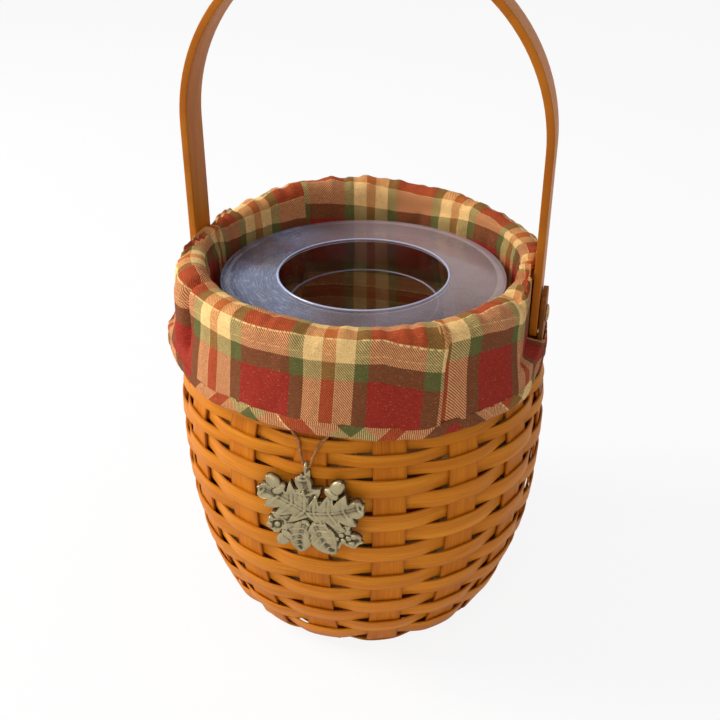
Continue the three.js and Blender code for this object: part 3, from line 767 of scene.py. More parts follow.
def clear_finish(name, tint, haze, scratched, alpha):
    """Clear moulded plastic with a haze, fine scratches swept across it and a few smears."""
    finish = Finish(name)
    place = finish.object_place()

    def swept(degrees, scale, detail):
        rotation = (0, 0, math.radians(degrees))
        stretched = finish.node("Mapping", {"Vector": place, "Rotation": rotation, "Scale": scale})
        return finish.noise(stretched, detail=detail, roughness=0.7)

    fine = swept(38, (2600, 60, 300), 3)
    crossed = swept(-24, (1800, 45, 300), 2)
    smear = finish.noise(place, scale=22, detail=3)
    scratches = fine.ramp(0.56, 0.7).most(crossed.ramp(0.62, 0.74)) * smear.ramp(0.35, 0.6)
    base = finish.blend(smear.ramp(0.35, 0.65), tint, haze)
    base = finish.blend(scratches * scratched, base, paint(236, 238, 250))
    roughness = scratches * (0.25 * scratched) + smear.ramp(0.4, 0.75) * 0.08 + 0.04
    normal = finish.bump(scratches + smear * 0.4, 0.2 * scratched, 0.0002)
    return finish.end(base, roughness, normal, Transmission_Weight=1.0, IOR=plastic_ior, Alpha=alpha)


plastic_ior = 1.45
vessel_foot, vessel_wall = 13.9, 1.8
vessel_inside = vessel_foot + vessel_wall
vessel = turned("moulded_vessel", section(
    (0, vessel_foot + 0.8), (30, vessel_foot + 0.6), (34, vessel_foot), (58, vessel_foot),
    (60.6, vessel_foot + 0.9), (62, vessel_foot + 3), (71, 182.8), (70.9, 183.6), (70.1, 184),
    (69.3, 183.4), (71 - vessel_wall, 182.6), (62 - vessel_wall, vessel_foot + 3.4),
    (58.8, vessel_foot + 2.1), (57.4, vessel_inside), (34, vessel_inside), (30, vessel_inside + 0.5),
    (0, vessel_inside + 0.7)), 128)
smooth(vessel, 30)
clear_wall = clear_finish("clear vessel plastic", paint(250, 250, 252), paint(240, 240, 248), 0.25, 0.2)
finished(vessel, "vessel", "clear", clear_wall, "clear_vessel")

throat_foot, throat_top = 169.5, 186.1
lid_under, lid_top, skirt_foot = 184.3, 185.9, 178.3
lid = turned("moulded_ring_lid", section(
    (43.7, throat_top), (43.6, 185.8), (38.6, 169.9), (38.7, throat_foot), (39.1, 169.4), (39.6, throat_foot),
    (39.7, 169.9), (44.5, lid_under), (72, lid_under), (72, 178.6), (72.3, skirt_foot), (73.3, skirt_foot),
    (73.6, 178.6), (73.6, 185.2), (73.4, 185.7), (72.9, lid_top), (69.6, lid_top), (69.2, 185.7),
    (68.4, 185.7), (68, lid_top), (44.9, lid_top), (44.7, throat_top), (44.5, 186.3), (44, 186.3)), 144)
smooth(lid, 30)


def ring_finish():
    """The ring's hazed plastic: scratched in arcs on its left side, where a bluish reflection of the window
    is painted, lighter towards its right and back as a painted reflection, with painted highlight lines round
    the hole, the throat's foot and the outer rim.
    """
    finish = Finish("hazed ring plastic")
    place = finish.object_place()
    x, y, z = finish.parts(place)
    radius = (x * x + y * y) ** 0.5
    turn = y.math("ARCTAN2", x)
    arcs = finish.noise(finish.vector(radius * 2300, turn * 9), detail=2, roughness=0.6)
    sweeps = finish.noise(finish.vector(radius * 800 + turn * 1.5, turn * 2.4, 3.0), detail=3, roughness=0.7)
    cloud = finish.noise(place, scale=30, detail=4)

    def line_at(distance, inner, outer):
        return 1 - (radius - distance * mm).size().ramp(inner * mm, outer * mm)

    # A painted bluish reflection of the window on the left side, where the scratches also gather
    wear_and_reflection = ((x * -0.95 - y * 0.3) / (50 * mm)).ramp(0.3, 0.95) * cloud.ramp(0.28, 0.6)
    scratches = arcs.ramp(0.5, 0.68).most(sweeps.ramp(0.52, 0.7) * 0.8) * (wear_and_reflection * 0.6 + 0.1)
    # Painted highlight lines round the hole's rim, at the throat's foot and round the outer rim
    throat_foot_highlight = 1 - z.ramp(170.2 * mm, 170.6 * mm)
    lip_highlights = line_at(44.3, 0.35, 0.8).most(throat_foot_highlight * 0.4)
    edges = line_at(73.2, 0.3, 0.7) * 0.5
    # Painted reflected light: the ring is lighter towards its right and back
    painted_sheen = ((x * 0.7 + y * 0.7) / (60 * mm)).ramp(0.0, 0.9)
    base = finish.blend(cloud.ramp(0.35, 0.7), paint(120, 102, 106), paint(144, 130, 142))
    base = finish.blend(painted_sheen, base, paint(188, 166, 166))
    base = finish.blend(wear_and_reflection, base, paint(112, 126, 160))
    base = finish.blend(scratches, base, paint(190, 202, 232))
    base = finish.blend(lip_highlights.most(edges), base, paint(186, 198, 232))
    alpha = wear_and_reflection * 0.22 + painted_sheen * 0.16 + scratches * 0.22 + lip_highlights * 0.5 + edges * 0.3
    alpha = alpha + cloud.ramp(0.3, 0.7) * 0.12 + 0.34
    finish.feed(finish.shader.inputs["Alpha"], alpha.least(1.0))
    normal = finish.bump(scratches + cloud * 0.3, 0.2, 0.0002)
    return finish.end(base, scratches * 0.3 + cloud * 0.1 + 0.06, normal, IOR=plastic_ior)


finished(lid, "lid", "clear", ring_finish(), "clear_ring_lid")
# The throat's wall is clearer than the flat ring
throat_wall = clear_finish("clear throat plastic", paint(240, 238, 240), paint(222, 222, 234), 0.3, 0.14)
lid.data.materials.append(throat_wall)
for face in lid.data.polygons:
    if math.hypot(face.center.x, face.center.y) < 44 * mm and 170.6 * mm < face.center.z < 185.7 * mm:
        face.material_index = 1


# Cloth liner: its plaid, its shape and its folds

period = 62 * mm
cuff_angles = [129.9, 153, 165, 200, 239.5, 276.3, 303.5, 308, 318, 330, 385, 424.7, 462.1, 489.9]
cuff_periods = [0, 0.63, 0.956, 2.557, 3.63, 4.63, 5.37, 5.63, 5.90, 6.30, 8.551, 9.63, 10.63, 11.385]
flat_width = cuff_periods[-1] * period
slit_angles = (180, 360)
arm_plane = (87.7 - 0.4 - 0.35) * mm
sweep_bottom = 165 * mm
over_ear = 95.3 * mm
slit_foot = 161.6 * mm
cloth_thickness = 0.7 * mm
seam_height, crest_height = 194.5 * mm, 203.9 * mm
hem_radius, hem_height, binding_height = 99.6 * mm, 149.6 * mm, 7 * mm
turn_over, crest_length = 42 * mm, 53 * mm
slit_reach = 26

# At every 10 degrees from +X, in millimetres: how far the crest and the hem lie above their usual height
crest_changes = [
    -5.6, -5.6, -5.6, -6.0, -6.2, -4.0, -2.6, -1.2, -0.3, 1.9, 2.4, 2.6,
    2.8, 2.7, 0.6, -2.6, -3.6, -3.4, -3.0, -4.0, -4.0, -4.0, -5.0, -4.8,
    -4.7, -5.2, -3.8, -6.3, -6.8, -7.2, -7.4, -7.8, -7.8, -7.6, -7.6, -7.0]
hem_changes = [3.5, 4.0, 2.0] + [0] * 16 + [
    1.0, 2.0, 3.0, 3.4, 2.2, 1.2, 2.6, 2.0, 1.8, 1.0, -1.2, -1.4, -0.5, -0.6, -1.6, -1.5, -3.5]
# How far the weft stripes sit above their usual place, along the cut in periods of the warp
weft_periods = [
    0, 0.7, 1.3, 1.8, 2.4, 3.0, 3.62, 4.0, 4.3, 4.63, 4.85, 5.02, 5.13, 5.42, 5.53, 5.60, 5.92, 6.3,
    7.0, 7.9, 8.55, 9.56, 9.93, 10.36, 10.76, 11.12, 11.385]
weft_changes = [
    16.0, 15.5, 14.0, 8.0, 4.6, 5.0, 5.4, 4.8, 5.4, 4.8, 4.6, 4.6, 2.3, -1.8, -2.9, 10.5, 10.5, 8.5,
    3.0, 6.0, 9.0, 11.6, 14.0, 14.2, 11.6, 9.6, 8.5]


def between(x, xs, ys):
    """Reads a line through given points."""
    if x <= xs[0]:
        return ys[0]
    for a, b, c, d in zip(xs, xs[1:], ys, ys[1:]):
        if x <= b:
            return c + (d - c) * (x - a) / (b - a)
    return ys[-1]


def eased(x, low, high):
    share = min(max((x - low) / (high - low), 0), 1)
    return share * share * (3 - 2 * share)


def bell(x, centre, width):
    return math.exp(-(((x - centre) / width) ** 2))


def away(angle, centre):
    return (angle - centre + 180) % 360 - 180


def spline(points, per_span=12):
    """A smooth line through points."""
    line = []
    ends = [points[0], *points, points[-1]]
    for i in range(1, len(ends) - 2):
        a, b, c, d = (Vector(p) for p in ends[i - 1:i + 3])
        for step in range(per_span):
            t = step / per_span
            line.append(0.5 * ((2 * b) + (c - a) * t + (2 * a - 5 * b + 4 * c - d) * t ** 2
                               + (3 * b - a - 3 * c + d) * t ** 3))
    return line + [Vector(points[-1])]


# Both profiles run upwards in the flat cut: the cuff's from its hem to the seam, the bag's from the seam on
inside_neck = 80.2 * mm
clearance = 3.6 * mm
bag_floor = 12.8 * mm
cuff_points = [(99.5 * mm, hem_height + binding_height - 1.5 * mm)]
cuff_points += section((98.4, 163), (97.2, 171), (96, 180), (95.4, 188), (95, 196))
cuff_points += section((93.6, 200.6), (90.4, 203.4), (86, crest_height / mm), (82.4, 202))
cuff_points += [(inside_neck + 0.4 * mm, 198.6 * mm), (inside_neck, seam_height)]
bag_points = [(inside_neck, seam_height), (inside_neck, 184 * mm), (inside_neck, rim_bottom + 2 * mm)]
bag_points += [(wall_radius(h * mm) - clearance, h * mm) for h in (163, 152, 138, 115, 85, 55, 30)]
bag_points += [(wall_radius(20 * mm) - clearance - 3.2 * mm, 16.5 * mm)]
bag_points += [(radius * mm, bag_floor) for radius in (66, 45, 20, 0.5)]
bag = Profile(spline(bag_points))
cuff = Profile(spline(cuff_points))


def around(angle, changes):
    """Reads a list of changes at every 10 degrees."""
    place = angle % 360 / 10
    low, share = int(place), place % 1
    share = share * share * (3 - 2 * share)
    return changes[low % 36] * (1 - share) + changes[(low + 1) % 36] * share


def crest_change(angle):
    small = noise.noise(ring_at(math.radians(angle)) * 17 + Vector((0, 0, 1.7)))
    return (around(angle, crest_changes) + small * 0.6) * mm


def on_cuff(up, raised):
    """Where a height of the flat cut lies along the cuff's profile, when its crest is raised."""
    usual = crest_height - hem_height
    scale = (usual + raised) / usual
    if up <= turn_over:
        return up / scale
    share_over = (up - turn_over) / (cuff.total - turn_over)
    return turn_over / scale + (cuff.total - turn_over / scale) * share_over


def wrinkles(angle, across, share):
    """How far the folds and puckers stand out, in millimetres."""
    near_slit = max(bell(away(angle, centre), 0, 17) for centre in slit_angles)
    low_part = eased(share, 0.42, 0.75)
    on_crest = bell(share, 0.24, 0.16)
    ring = ring_at(math.radians(angle))
    billow = noise.noise(ring * 2.4 + Vector((0, 0, share * 1.2)))
    drape = noise.noise(ring * 7.5 + Vector((2, 5, share * 1.4)))
    crumple = noise.noise(ring * 19 + Vector((7, 1, share * 3.2)))
    crush = noise.noise(ring * 40 + Vector((3, 9, share * 6.5)))
    gather = math.sin(across / (10.5 * mm) * 2 * math.pi + drape * 3)
    out = billow * 1.4 * low_part + drape * (0.9 * low_part + 1.3 * on_crest)
    out += crumple * (0.4 + 1.3 * near_slit + 0.7 * on_crest)
    out += crush * (0.16 + 0.5 * near_slit + 0.3 * on_crest)
    out += gather * near_slit * (0.4 + 1.2 * on_crest)
    return out * eased(share, 0.0, 0.12)


def front_pleat(across, share):
    """The pleat that lays the cloth's left part over its right: millimetres out, and degrees round."""
    place = (across / period - 5.37) / 0.26
    out = between(place, [-0.9, 0, 0.3, 0.42, 0.55, 0.8, 1, 1.15], [0, 1.5, 1.9, 1.2, 0.9, 0.8, 0.15, 0])
    turned_by = between(place, [0, 0.33, 0.45, 0.8, 0.9, 1.3], [0, 2.6, 2.2, -1.6, -1.6, 0])
    fold = eased(share, 0.1, 0.24)
    lean = 4.0 * (share - 0.3) * bell(place, 0.5, 3.2) if -6 < place < 7 else 0
    return out * fold * 0.8, turned_by * fold - lean


def creases(angle, share):
    """Deep creases where the cloth is bunched towards the slits, and the fuller crest, in millimetres."""

    def crease(at, width):
        return bell(away(angle, at), 0, width)

    upper = eased(share, 0.06, 0.2) * (1 - eased(share, 0.72, 0.9))
    left = 221.5 + 4.5 * share
    out = 3.0 * crease(left - 6, 4.5) - 4.2 * crease(left, 1.3)
    out += 1.6 * crease(347, 4) - 3.4 * crease(339, 2.2) - 1.2 * crease(352.5, 1.6)
    return out * upper + (2.0 * crease(325, 22) + 2.2 * crease(9, 4)) * bell(share, 0.24, 0.16)


def at_arms(radius, angle, height, profile_radius, low):
    """Puffs the cloth out beside the left slit, and draws it in under the right ear and inside the arms."""
    radius += bell(away(angle, 196), 0, 12) * 3.6 * mm * bell(height, 160 * mm, 7.5 * mm)
    radius -= bell(away(angle, 214), 0, 12) * 2.2 * mm * bell(height, 151 * mm, 7 * mm)
    opened_at = radius
    squeezed = max(bell(away(angle, centre), 0, 10) for centre in slit_angles)
    inner_part = eased(profile_radius, 80.4 * mm, 85 * mm) * (1 - eased(low, 30 * mm, 18 * mm))
    radius -= 3.6 * mm * squeezed * inner_part
    drawn_in = bell(away(angle, 2), 0, 20) * (1 - eased(height, 166 * mm, 176 * mm))
    target = 93.9 * mm + 1.5 * mm * eased(height, 152 * mm, 159.5 * mm)
    return radius + (min(radius, target) - radius) * min(drawn_in * 1.4, 1), opened_at


def slit_gap(height, out, widened):
    """Half the width of a slit at a height, closed at its foot and inside the crest."""
    foot = min(max((height - slit_foot) / (8 * mm), 0), 1)
    widest = 12.6 * mm + (2.5 * mm * eased(height, 180 * mm, 197 * mm) if widened else 0)
    return widest * math.sqrt(1 - (1 - foot) ** 2) * eased(out, 88.4 * mm, 91.0 * mm)


def opened(angle, radius, height, opened_at):
    """Moves the cloth beside a slit aside by the slit's width."""
    centre = min(slit_angles, key=lambda c: abs(away(angle, c)))
    aside = away(angle, centre)
    if abs(aside) >= slit_reach:
        return angle
    side_sign = 1 if aside >= 0 else -1
    gap = math.degrees(slit_gap(height, opened_at, centre == 360 and side_sign < 0) / radius)
    return centre + side_sign * (gap + abs(aside) * (slit_reach - gap) / slit_reach)


def pressed(radius, height, angle):
    """Keeps the cuff behind the plane that the handle's arms swing in, and over the ear below it."""
    cosine = abs(math.cos(math.radians(angle)))
    aside = radius * abs(math.sin(math.radians(angle)))
    steep = 1.9 + 5 * (1 - eased(aside, 11 * mm, 24 * mm))
    limit = arm_plane / max(cosine, 0.3) + max(0.0, sweep_bottom - height) * steep
    behind = min(radius, limit)
    if height > sweep_bottom - 1.2 * mm:
        return behind
    beside = eased(aside, 9.2 * mm, 13 * mm)
    return behind * beside + max(behind, over_ear) * (1 - beside)


def cuff_point(across, up):
    """Where a point of the flat cuff goes: across is its place round the basket, up its way from the hem."""
    angle = between(across / period, cuff_periods, cuff_angles)
    raised = crest_change(angle)
    low = on_cuff(up, raised)
    point, along = cuff.at(low)
    bottom = hem_height if low < crest_length else seam_height
    height = point.y + raised * min(max((point.y - bottom) / (crest_height - bottom), 0), 1)
    share = 1 - low / cuff.total
    out = wrinkles(angle, across, share)
    pleat_out, pleat_turn = front_pleat(across, share)
    angle += pleat_turn
    out = (out + pleat_out + creases(angle, share)) * mm
    radius = point.x + along.y * out
    height -= along.x * out
    height += around(angle, hem_changes) * mm * (1 - eased(height, hem_height, hem_height + 30 * mm))
    radius, opened_at = at_arms(radius, angle, height, point.x, low)
    angle = opened(angle, radius, height, opened_at)
    radius = pressed(radius, height, angle)
    return ring_at(math.radians(angle)) * radius + Vector((0, 0, height))


def bag_point(across, up):
    """Where a point of the bag's flat cut goes: down the wall in soft gathers, and over the floor."""
    point, along = bag.at(up - cuff.total)
    ring = ring_at(math.radians(between(across / period, cuff_periods, cuff_angles)))
    wall_share = eased(point.y, 20 * mm, 60 * mm) * (1 - eased(point.y, 188 * mm, 194 * mm))
    gather = math.sin(across / (15 * mm) * 2 * math.pi + 4 * noise.noise(ring * 5))
    drape = noise.noise(ring * 4 + Vector((4, 4, point.y * 9)))
    crumple = noise.noise(ring * 12 + Vector((1, 8, point.y * 45)))
    inwards = 0.9 * wall_share * (1.2 + gather * 0.5 + drape * 1.4 + crumple * 0.7) * mm
    return ring * (point.x - max(inwards, 0) * abs(along.y)) + Vector((0, 0, point.y))


def cloth_sheet(name, columns, levels, place):
    """A flat cut of cloth on a grid, whose rule puts each point of it in its place."""
    bpy.ops.mesh.primitive_grid_add(x_subdivisions=columns, y_subdivisions=len(levels) - 1, size=1,
                                    location=(0.5, 0.5, 0))
    obj = added(name)
    layer = obj.data.uv_layers.active
    layer.name = "UVMap"
    rows = len(levels) - 1
    flat = {}
    for vertex in obj.data.vertices:
        column, level = round(vertex.co.x * columns), levels[round(vertex.co.y * rows)]
        flat[vertex.index] = (column / columns * flat_width, level)
    for loop in obj.data.loops:
        across, level = flat[loop.vertex_index]
        shift = between(across / period, weft_periods, weft_changes) * mm
        layer.data[loop.index].uv = (across, level - shift)
    for vertex in obj.data.vertices:
        vertex.co = place(*flat[vertex.index])
    return obj


def made_of_cloth(obj):
    """Closes the seam down the sheet's side and gives the cloth its thickness."""
    only(obj)
    bpy.ops.object.mode_set(mode="EDIT")
    bpy.ops.mesh.select_all(action="SELECT")
    bpy.ops.mesh.remove_doubles(threshold=0.02 * mm)
    done()
    modified(obj, "SOLIDIFY", thickness=cloth_thickness, offset=0)
    return smooth(obj, 70)


def plaid(name, turned_by=0.0):
    """A woven plaid: warp and weft stripes, twill lines and slubbed yarn, on the flat cut in metres."""
    finish = Finish(name)
    u, v = finish.unrolled()
    if turned_by:
        cosine, sine = math.cos(turned_by), math.sin(turned_by)
        u, v = u * cosine - v * sine, u * sine + v * cosine
    red, green = paint(162, 48, 34), paint(100, 100, 52)
    cream, rust = paint(250, 206, 136), paint(196, 106, 50)
    warp_order = ((rust, 6.1), (cream, 8.7), (green, 6.7), (red, 25.3), (green, 6.5), (cream, 8.7))
    weft_order = ((red, 28.6), (green, 8.8), (cream, 10.8), (rust, 8.8), (cream, 10.8), (green, 8.8))
    warp_period, weft_period = (sum(width for colour, width in order) for order in (warp_order, weft_order))

    def stripes(place, order, total):
        stops, at = ["CONSTANT"], 0.0
        for colour, width in order:
            stops.append((at, colour))
            at += width / total
        return finish.node("ValToRGB", {0: (place / (total * mm)).fraction()}, stops=stops)

    def near(place, *spots):
        """Millimetres to the nearest of some lines."""
        nearest = (place - spots[0]).size()
        for spot in spots[1:]:
            nearest = nearest.least((place - spot).size())
        return nearest

    def yarns(x, y, z=0.0):
        return finish.noise(finish.vector(x, y, z), detail=1)

    # A warp period starts at the left edge of a rust stripe, and a weft period 10 mm below the hem's top
    warp_yarn, weft_yarn = 0.3 * mm, 0.34 * mm
    wander = yarns(u * 40, v * 40) * 0.0008
    warp_place = u + wander + (3.05 - 0.63 * period / mm) * mm
    weft_place = v + wander + 10 * mm
    warp = stripes(warp_place, warp_order, warp_period)
    weft = stripes(weft_place, weft_order, weft_period)
    warp_count, weft_count = (u / warp_yarn).floor(), (v / weft_yarn).floor()
    over = ((warp_count + weft_count) * 0.25 + 0.01).fraction().ramp(0.35, 0.5)
    # Where a light and a dark yarn cross, fuzz of the dark one lies over the light one
    base = finish.blend(over * 0.88 + 0.06, weft, warp)
    base = finish.blend(0.26, base, finish.blend(1.0, weft, warp, "DARKEN"))
    # Each yarn has its own shade, which wanders along it
    warp_shade = yarns(warp_count * 3.7, v / (weft_yarn * 7))
    weft_shade = yarns(u / (warp_yarn * 9), weft_count * 3.7)
    shade = (over * warp_shade + (1 - over) * weft_shade) * 1.15 + 0.42
    base = finish.blend(1.0, base, finish.node("CombineColor", {0: shade, 1: shade, 2: shade}), "MULTIPLY")
    fleck = yarns(u / (warp_yarn * 6), v / (weft_yarn * 1.2), 4.0).ramp(0.62, 0.8)
    base = finish.blend(fleck * 0.35, base, cream)
    # Thick bright picks run along the edges of the cream weft stripes, and fine ones beside the rust warp
    pick_place = (weft_place / (weft_period * mm)).fraction() * weft_period
    thread_place = (warp_place / (warp_period * mm)).fraction() * warp_period
    dashes = finish.noise(finish.vector(u / (warp_yarn * 5), 2.0), detail=0).ramp(0.42, 0.55)
    thick_pick = 1 - near(pick_place, 47.9).ramp(0.25, 0.5)
    thin_picks = 1 - near(pick_place, 41.0, 57.3).ramp(0.1, 0.3)
    bright = (thick_pick + thin_picks * 0.6) * dashes
    fine = 1 - near(thread_place, 6.3, 61.7).ramp(0.05, 0.22)
    fine = fine * (v / (weft_yarn * 4)).fraction().ramp(0.3, 0.5)
    base = finish.blend((bright * 0.9).most(fine * 0.5), base, [min(c * 1.15, 1) for c in cream])
    round_warp, round_weft = (((place / yarn).fraction() * math.pi).sine()
                              for place, yarn in ((u, warp_yarn), (v, weft_yarn)))
    rounded = round_warp * over + round_weft * (1 - over)
    relief = rounded * 0.5 + shade * 0.5 + bright + fine * 0.5
    normal = finish.bump(relief, 0.5, 0.0003)
    return finish.end(base, 0.95, normal, Specular_IOR_Level=0.2)


plaid_cloth = plaid("plaid twill")


def levels_of(start, total, *spans):
    """Distances along a cut, with a number of steps for each span of it."""
    steps, before = [start], 0.0
    for share, count in spans:
        steps += [start + total * (before + (share - before) * (i + 1) / count) for i in range(count)]
        before = share
    return steps


columns = 440
cuff_cloth = cloth_sheet("plaid_cuff", columns, levels_of(0, cuff.total, (1.0, 66)), cuff_point)
slit_periods = [between(angle, cuff_angles, cuff_periods) for angle in slit_angles]
slit_columns = [round(columns * place / cuff_periods[-1]) for place in slit_periods]
flat_map = cuff_cloth.data.uv_layers.active.data


def in_slit(face):
    """Whether the opening of a slit has stretched this face."""
    across = sum(flat_map[corner].uv.x for corner in face.loop_indices) / len(face.loop_indices)
    column = across / flat_width * columns
    return face.area > 4.2 * mm * mm and any(abs(column - middle) < 1.01 for middle in slit_columns)


without(cuff_cloth, in_slit)
made_of_cloth(cuff_cloth)
finished(cuff_cloth, "basket", "cloth", plaid_cloth, "liner_cuff")

bag_levels = levels_of(cuff.total, bag.total, (0.2, 30), (0.7, 22), (0.8, 6), (1.0, 4))
bag_cloth = made_of_cloth(cloth_sheet("plaid_bag", 300, bag_levels, bag_point))
finished(bag_cloth, "basket", "cloth", plaid_cloth, "cloth_liner")


# Binding: a bias strip folded round the foot of the cuff, with a stitch line along its top

binding_steps = 420


def cuff_feet():
    """The cuff's radius and height at its hem, at every step round the binding."""
    feet = []
    for step in range(binding_steps):
        angle = step * 360 / binding_steps
        along = angle if angle > cuff_angles[0] else angle + 360
        foot = cuff_point(between(along, cuff_angles, cuff_periods) * period, 1 * mm)
        feet.append(Vector((math.hypot(foot.x, foot.y), foot.z)))
    return feet


def sewn_binding():
    middle = hem_height + binding_height / 2
    bpy.ops.mesh.primitive_torus_add(major_segments=binding_steps, minor_segments=16, major_radius=hem_radius,
                                     minor_radius=1 * mm, location=(0, 0, middle))
    obj = added("bias_binding")
    layer = obj.data.uv_layers.active
    layer.name = "UVMap"
    feet = cuff_feet()
    flat = {}
    for vertex in obj.data.vertices:
        a = math.atan2(vertex.co.y, vertex.co.x)
        out = (math.hypot(vertex.co.x, vertex.co.y) - hem_radius) / mm
        rise = (vertex.co.z - middle) / mm
        ring = ring_at(a)
        # The round section is drawn out into a flat band
        tall = math.copysign(abs(rise) ** 0.62, rise) * binding_height / 2
        deep = math.copysign(abs(out) ** 0.7, out) * 1.05 * mm
        pucker = noise.noise(ring * 26 + Vector((0, 0, 2))) * 0.5 * mm * (1 if out > 0 else 0.3)
        stitch = -0.35 * mm * bell(tall, 2.5 * mm, 0.5 * mm) * (1 if out > 0 else 0)
        place = round(math.degrees(a) % 360 * binding_steps / 360)
        foot = sum((feet[(place + step) % binding_steps] for step in (-2, -1, 0, 1, 2)), Vector((0, 0))) / 5
        height = foot.y - 3 * mm + tall + noise.noise(ring * 5 + Vector((4, 0, 0))) * 0.5 * mm
        vertex.co = ring * (foot.x + deep + pucker + stitch) + Vector((0, 0, height))
        flat[vertex.index] = tall + binding_height / 2 if out > 0 else -tall
    for face in obj.data.polygons:
        for corner in face.loop_indices:
            index = obj.data.loops[corner].vertex_index
            around_ring = near_angle(obj.data.vertices[index].co, face.center)
            layer.data[corner].uv = (around_ring * hem_radius, flat[index])
    smooth(obj, 60)
    return obj


binding_cloth = plaid("plaid twill on the bias", turned_by=math.radians(45))
finished(sewn_binding(), "basket", "binding", binding_cloth, "liner_binding")


# Tie-on: a cast spray of leaves, acorns and berries with an eye for its lace

ornament_middle = Vector((0, -ornament_back, ornament_height))
leaf_spots = [
    # length, half width, lobes, across, up, turned by degrees, raised by
    (29.5, 12.5, 4, 2, 2, 68, 0.5),
    (30.5, 12.5, 4, -1, 3, -72, 0.9),
    (23, 9.5, 3, 1, 2, 10, 0.2),
    (21, 7.6, 0, 3, -1, -148, 1.2),
    (21, 7.0, 0, -1, -1, 172, 0.8),
    (22, 9.0, 3, -1, 0, 118, 0.1),
    (27, 9.5, 3, 2, 0, -112, 0.0),
]
acorn_spots = [(-15.5, 16.5, -138), (13.5, 18.5, 146), (-11.5, -13.5, -36)]
berry_spots = [(-18.5, -4), (-15.4, -6.6), (-19.4, -7.6), (16.5, -6.5), (19.5, -4.4), (20, -7.8),
               (17.4, -9.9), (14, -9.2), (22.4, -6.4), (21.2, -11)]
cast_base = 1.3


def turned_into(x, z, across, up, degrees):
    """A point of the spray seen in the frame of a leaf, along it and across it."""
    a = math.radians(degrees)
    x, z = x - across, z - up
    return -x * math.sin(a) + z * math.cos(a), x * math.cos(a) + z * math.sin(a)


def leaf_height(x, z, length, half_width, lobes, across, up, degrees, raised):
    """A leaf's height at a point, with pointed lobes that reach forward, a rib, veins and a curled edge."""
    along, aside = turned_into(x, z, across, up, degrees)
    u = along / length
    if not 0 < u < 1:
        return None
    aside -= math.sin(u * 3) * length * 0.05
    out = abs(aside)
    width = half_width * math.sin(math.pi * u ** 0.85) ** (0.62 if lobes else 0.8)
    forward = u - 0.16 * out / half_width
    if lobes:
        place = (lobes * 1.02 * forward + 0.12) % 1
        tooth = place / 0.78 if place < 0.78 else (1 - place) / 0.22
        width *= 0.42 + 0.58 * tooth ** 0.9
    else:
        place = (6 * forward + 0.2) % 1
        width *= 0.95 + 0.05 * ((14 * forward) % 1)
    inside = width - out
    if inside <= 0:
        return None
    puffed = 1.1 * math.sin(math.pi * min(out / half_width, 1)) ** 0.7
    rib = 0.5 * bell(aside, 0, 0.5) * (1 - 0.5 * u)
    vein = 0.3 * bell(place, 0.66, 0.07 if lobes else 0.1) * (1 - (out / width) ** 3)
    curl = 0.6 * math.sin(u * math.pi) + 0.3 * math.sin(aside * 0.6 + u * 6)
    rounded = min(inside / 0.6, 1) ** 0.5
    edge = 0.25 * bell(inside, 0.5, 0.3)
    return cast_base * 0.35 + (cast_base * 0.65 + puffed + rib + vein + curl + raised) * rounded + edge


def dome(across, up, half_width, half_height):
    """Where a point lies in a dome: 1 over its middle, 0 at its edge, less outside it."""
    return 1 - (across / half_width) ** 2 - (up / half_height) ** 2


def acorn_height(x, z, across, up, degrees):
    """An acorn's height at a point: a nut with a tip, a cup with scales and a short stalk."""
    along, aside = turned_into(x, z, across, up, degrees)
    heights = []
    nut = dome(aside, along + 1.2, 3.5, 5.2)
    if nut > 0:
        tip = 0.8 * bell(along, -6, 0.7) * bell(aside, 0, 0.6)
        heights.append(cast_base + 2.6 * math.sqrt(nut) + tip)
    cup = dome(aside, along - 2.6, 4.3, 2.7)
    if cup > 0 and along > 0.8:
        scales = 0.16 * math.sin(aside * 4.2 + along * 3) * math.sin(aside * 4.2 - along * 3)
        heights.append(cast_base + 0.4 + 2.7 * math.sqrt(cup) + scales)
    stalk = dome(aside, 0, 0.7, 1)
    if stalk > 0 and 4.5 < along < 7.5:
        heights.append(cast_base + 0.9 * math.sqrt(stalk))
    return max(heights, default=None)


def cast_height(x, z):
    """How far the spray stands off its flat back, or nothing outside it."""
    heights = [leaf_height(x, z, *leaf) for leaf in leaf_spots]
    heights += [acorn_height(x, z, *acorn) for acorn in acorn_spots]
    for across, up in berry_spots:
        ball = dome(x - across, z - up, 1.75, 1.75)
        if ball > 0:
            dimple = 0.5 * bell(math.hypot(x - across, z - up), 0, 0.4)
            heights.append(cast_base + 0.6 + 1.7 * math.sqrt(ball) - dimple)
    core = dome(x, z - 2, 7.5, 7.5)
    if core > 0:
        heights.append(cast_base + 0.7 * math.sqrt(core))
    neck = 1.6 - abs(x)
    if neck > 0 and 4 < z < 27.4:
        heights.append(cast_base + 0.8 * math.sqrt(neck / 1.6))
    heights = [h for h in heights if h is not None]
    if not heights:
        return None
    return max(heights) + 0.07 * noise.noise(Vector((x * 1.3, z * 1.3, 1)))


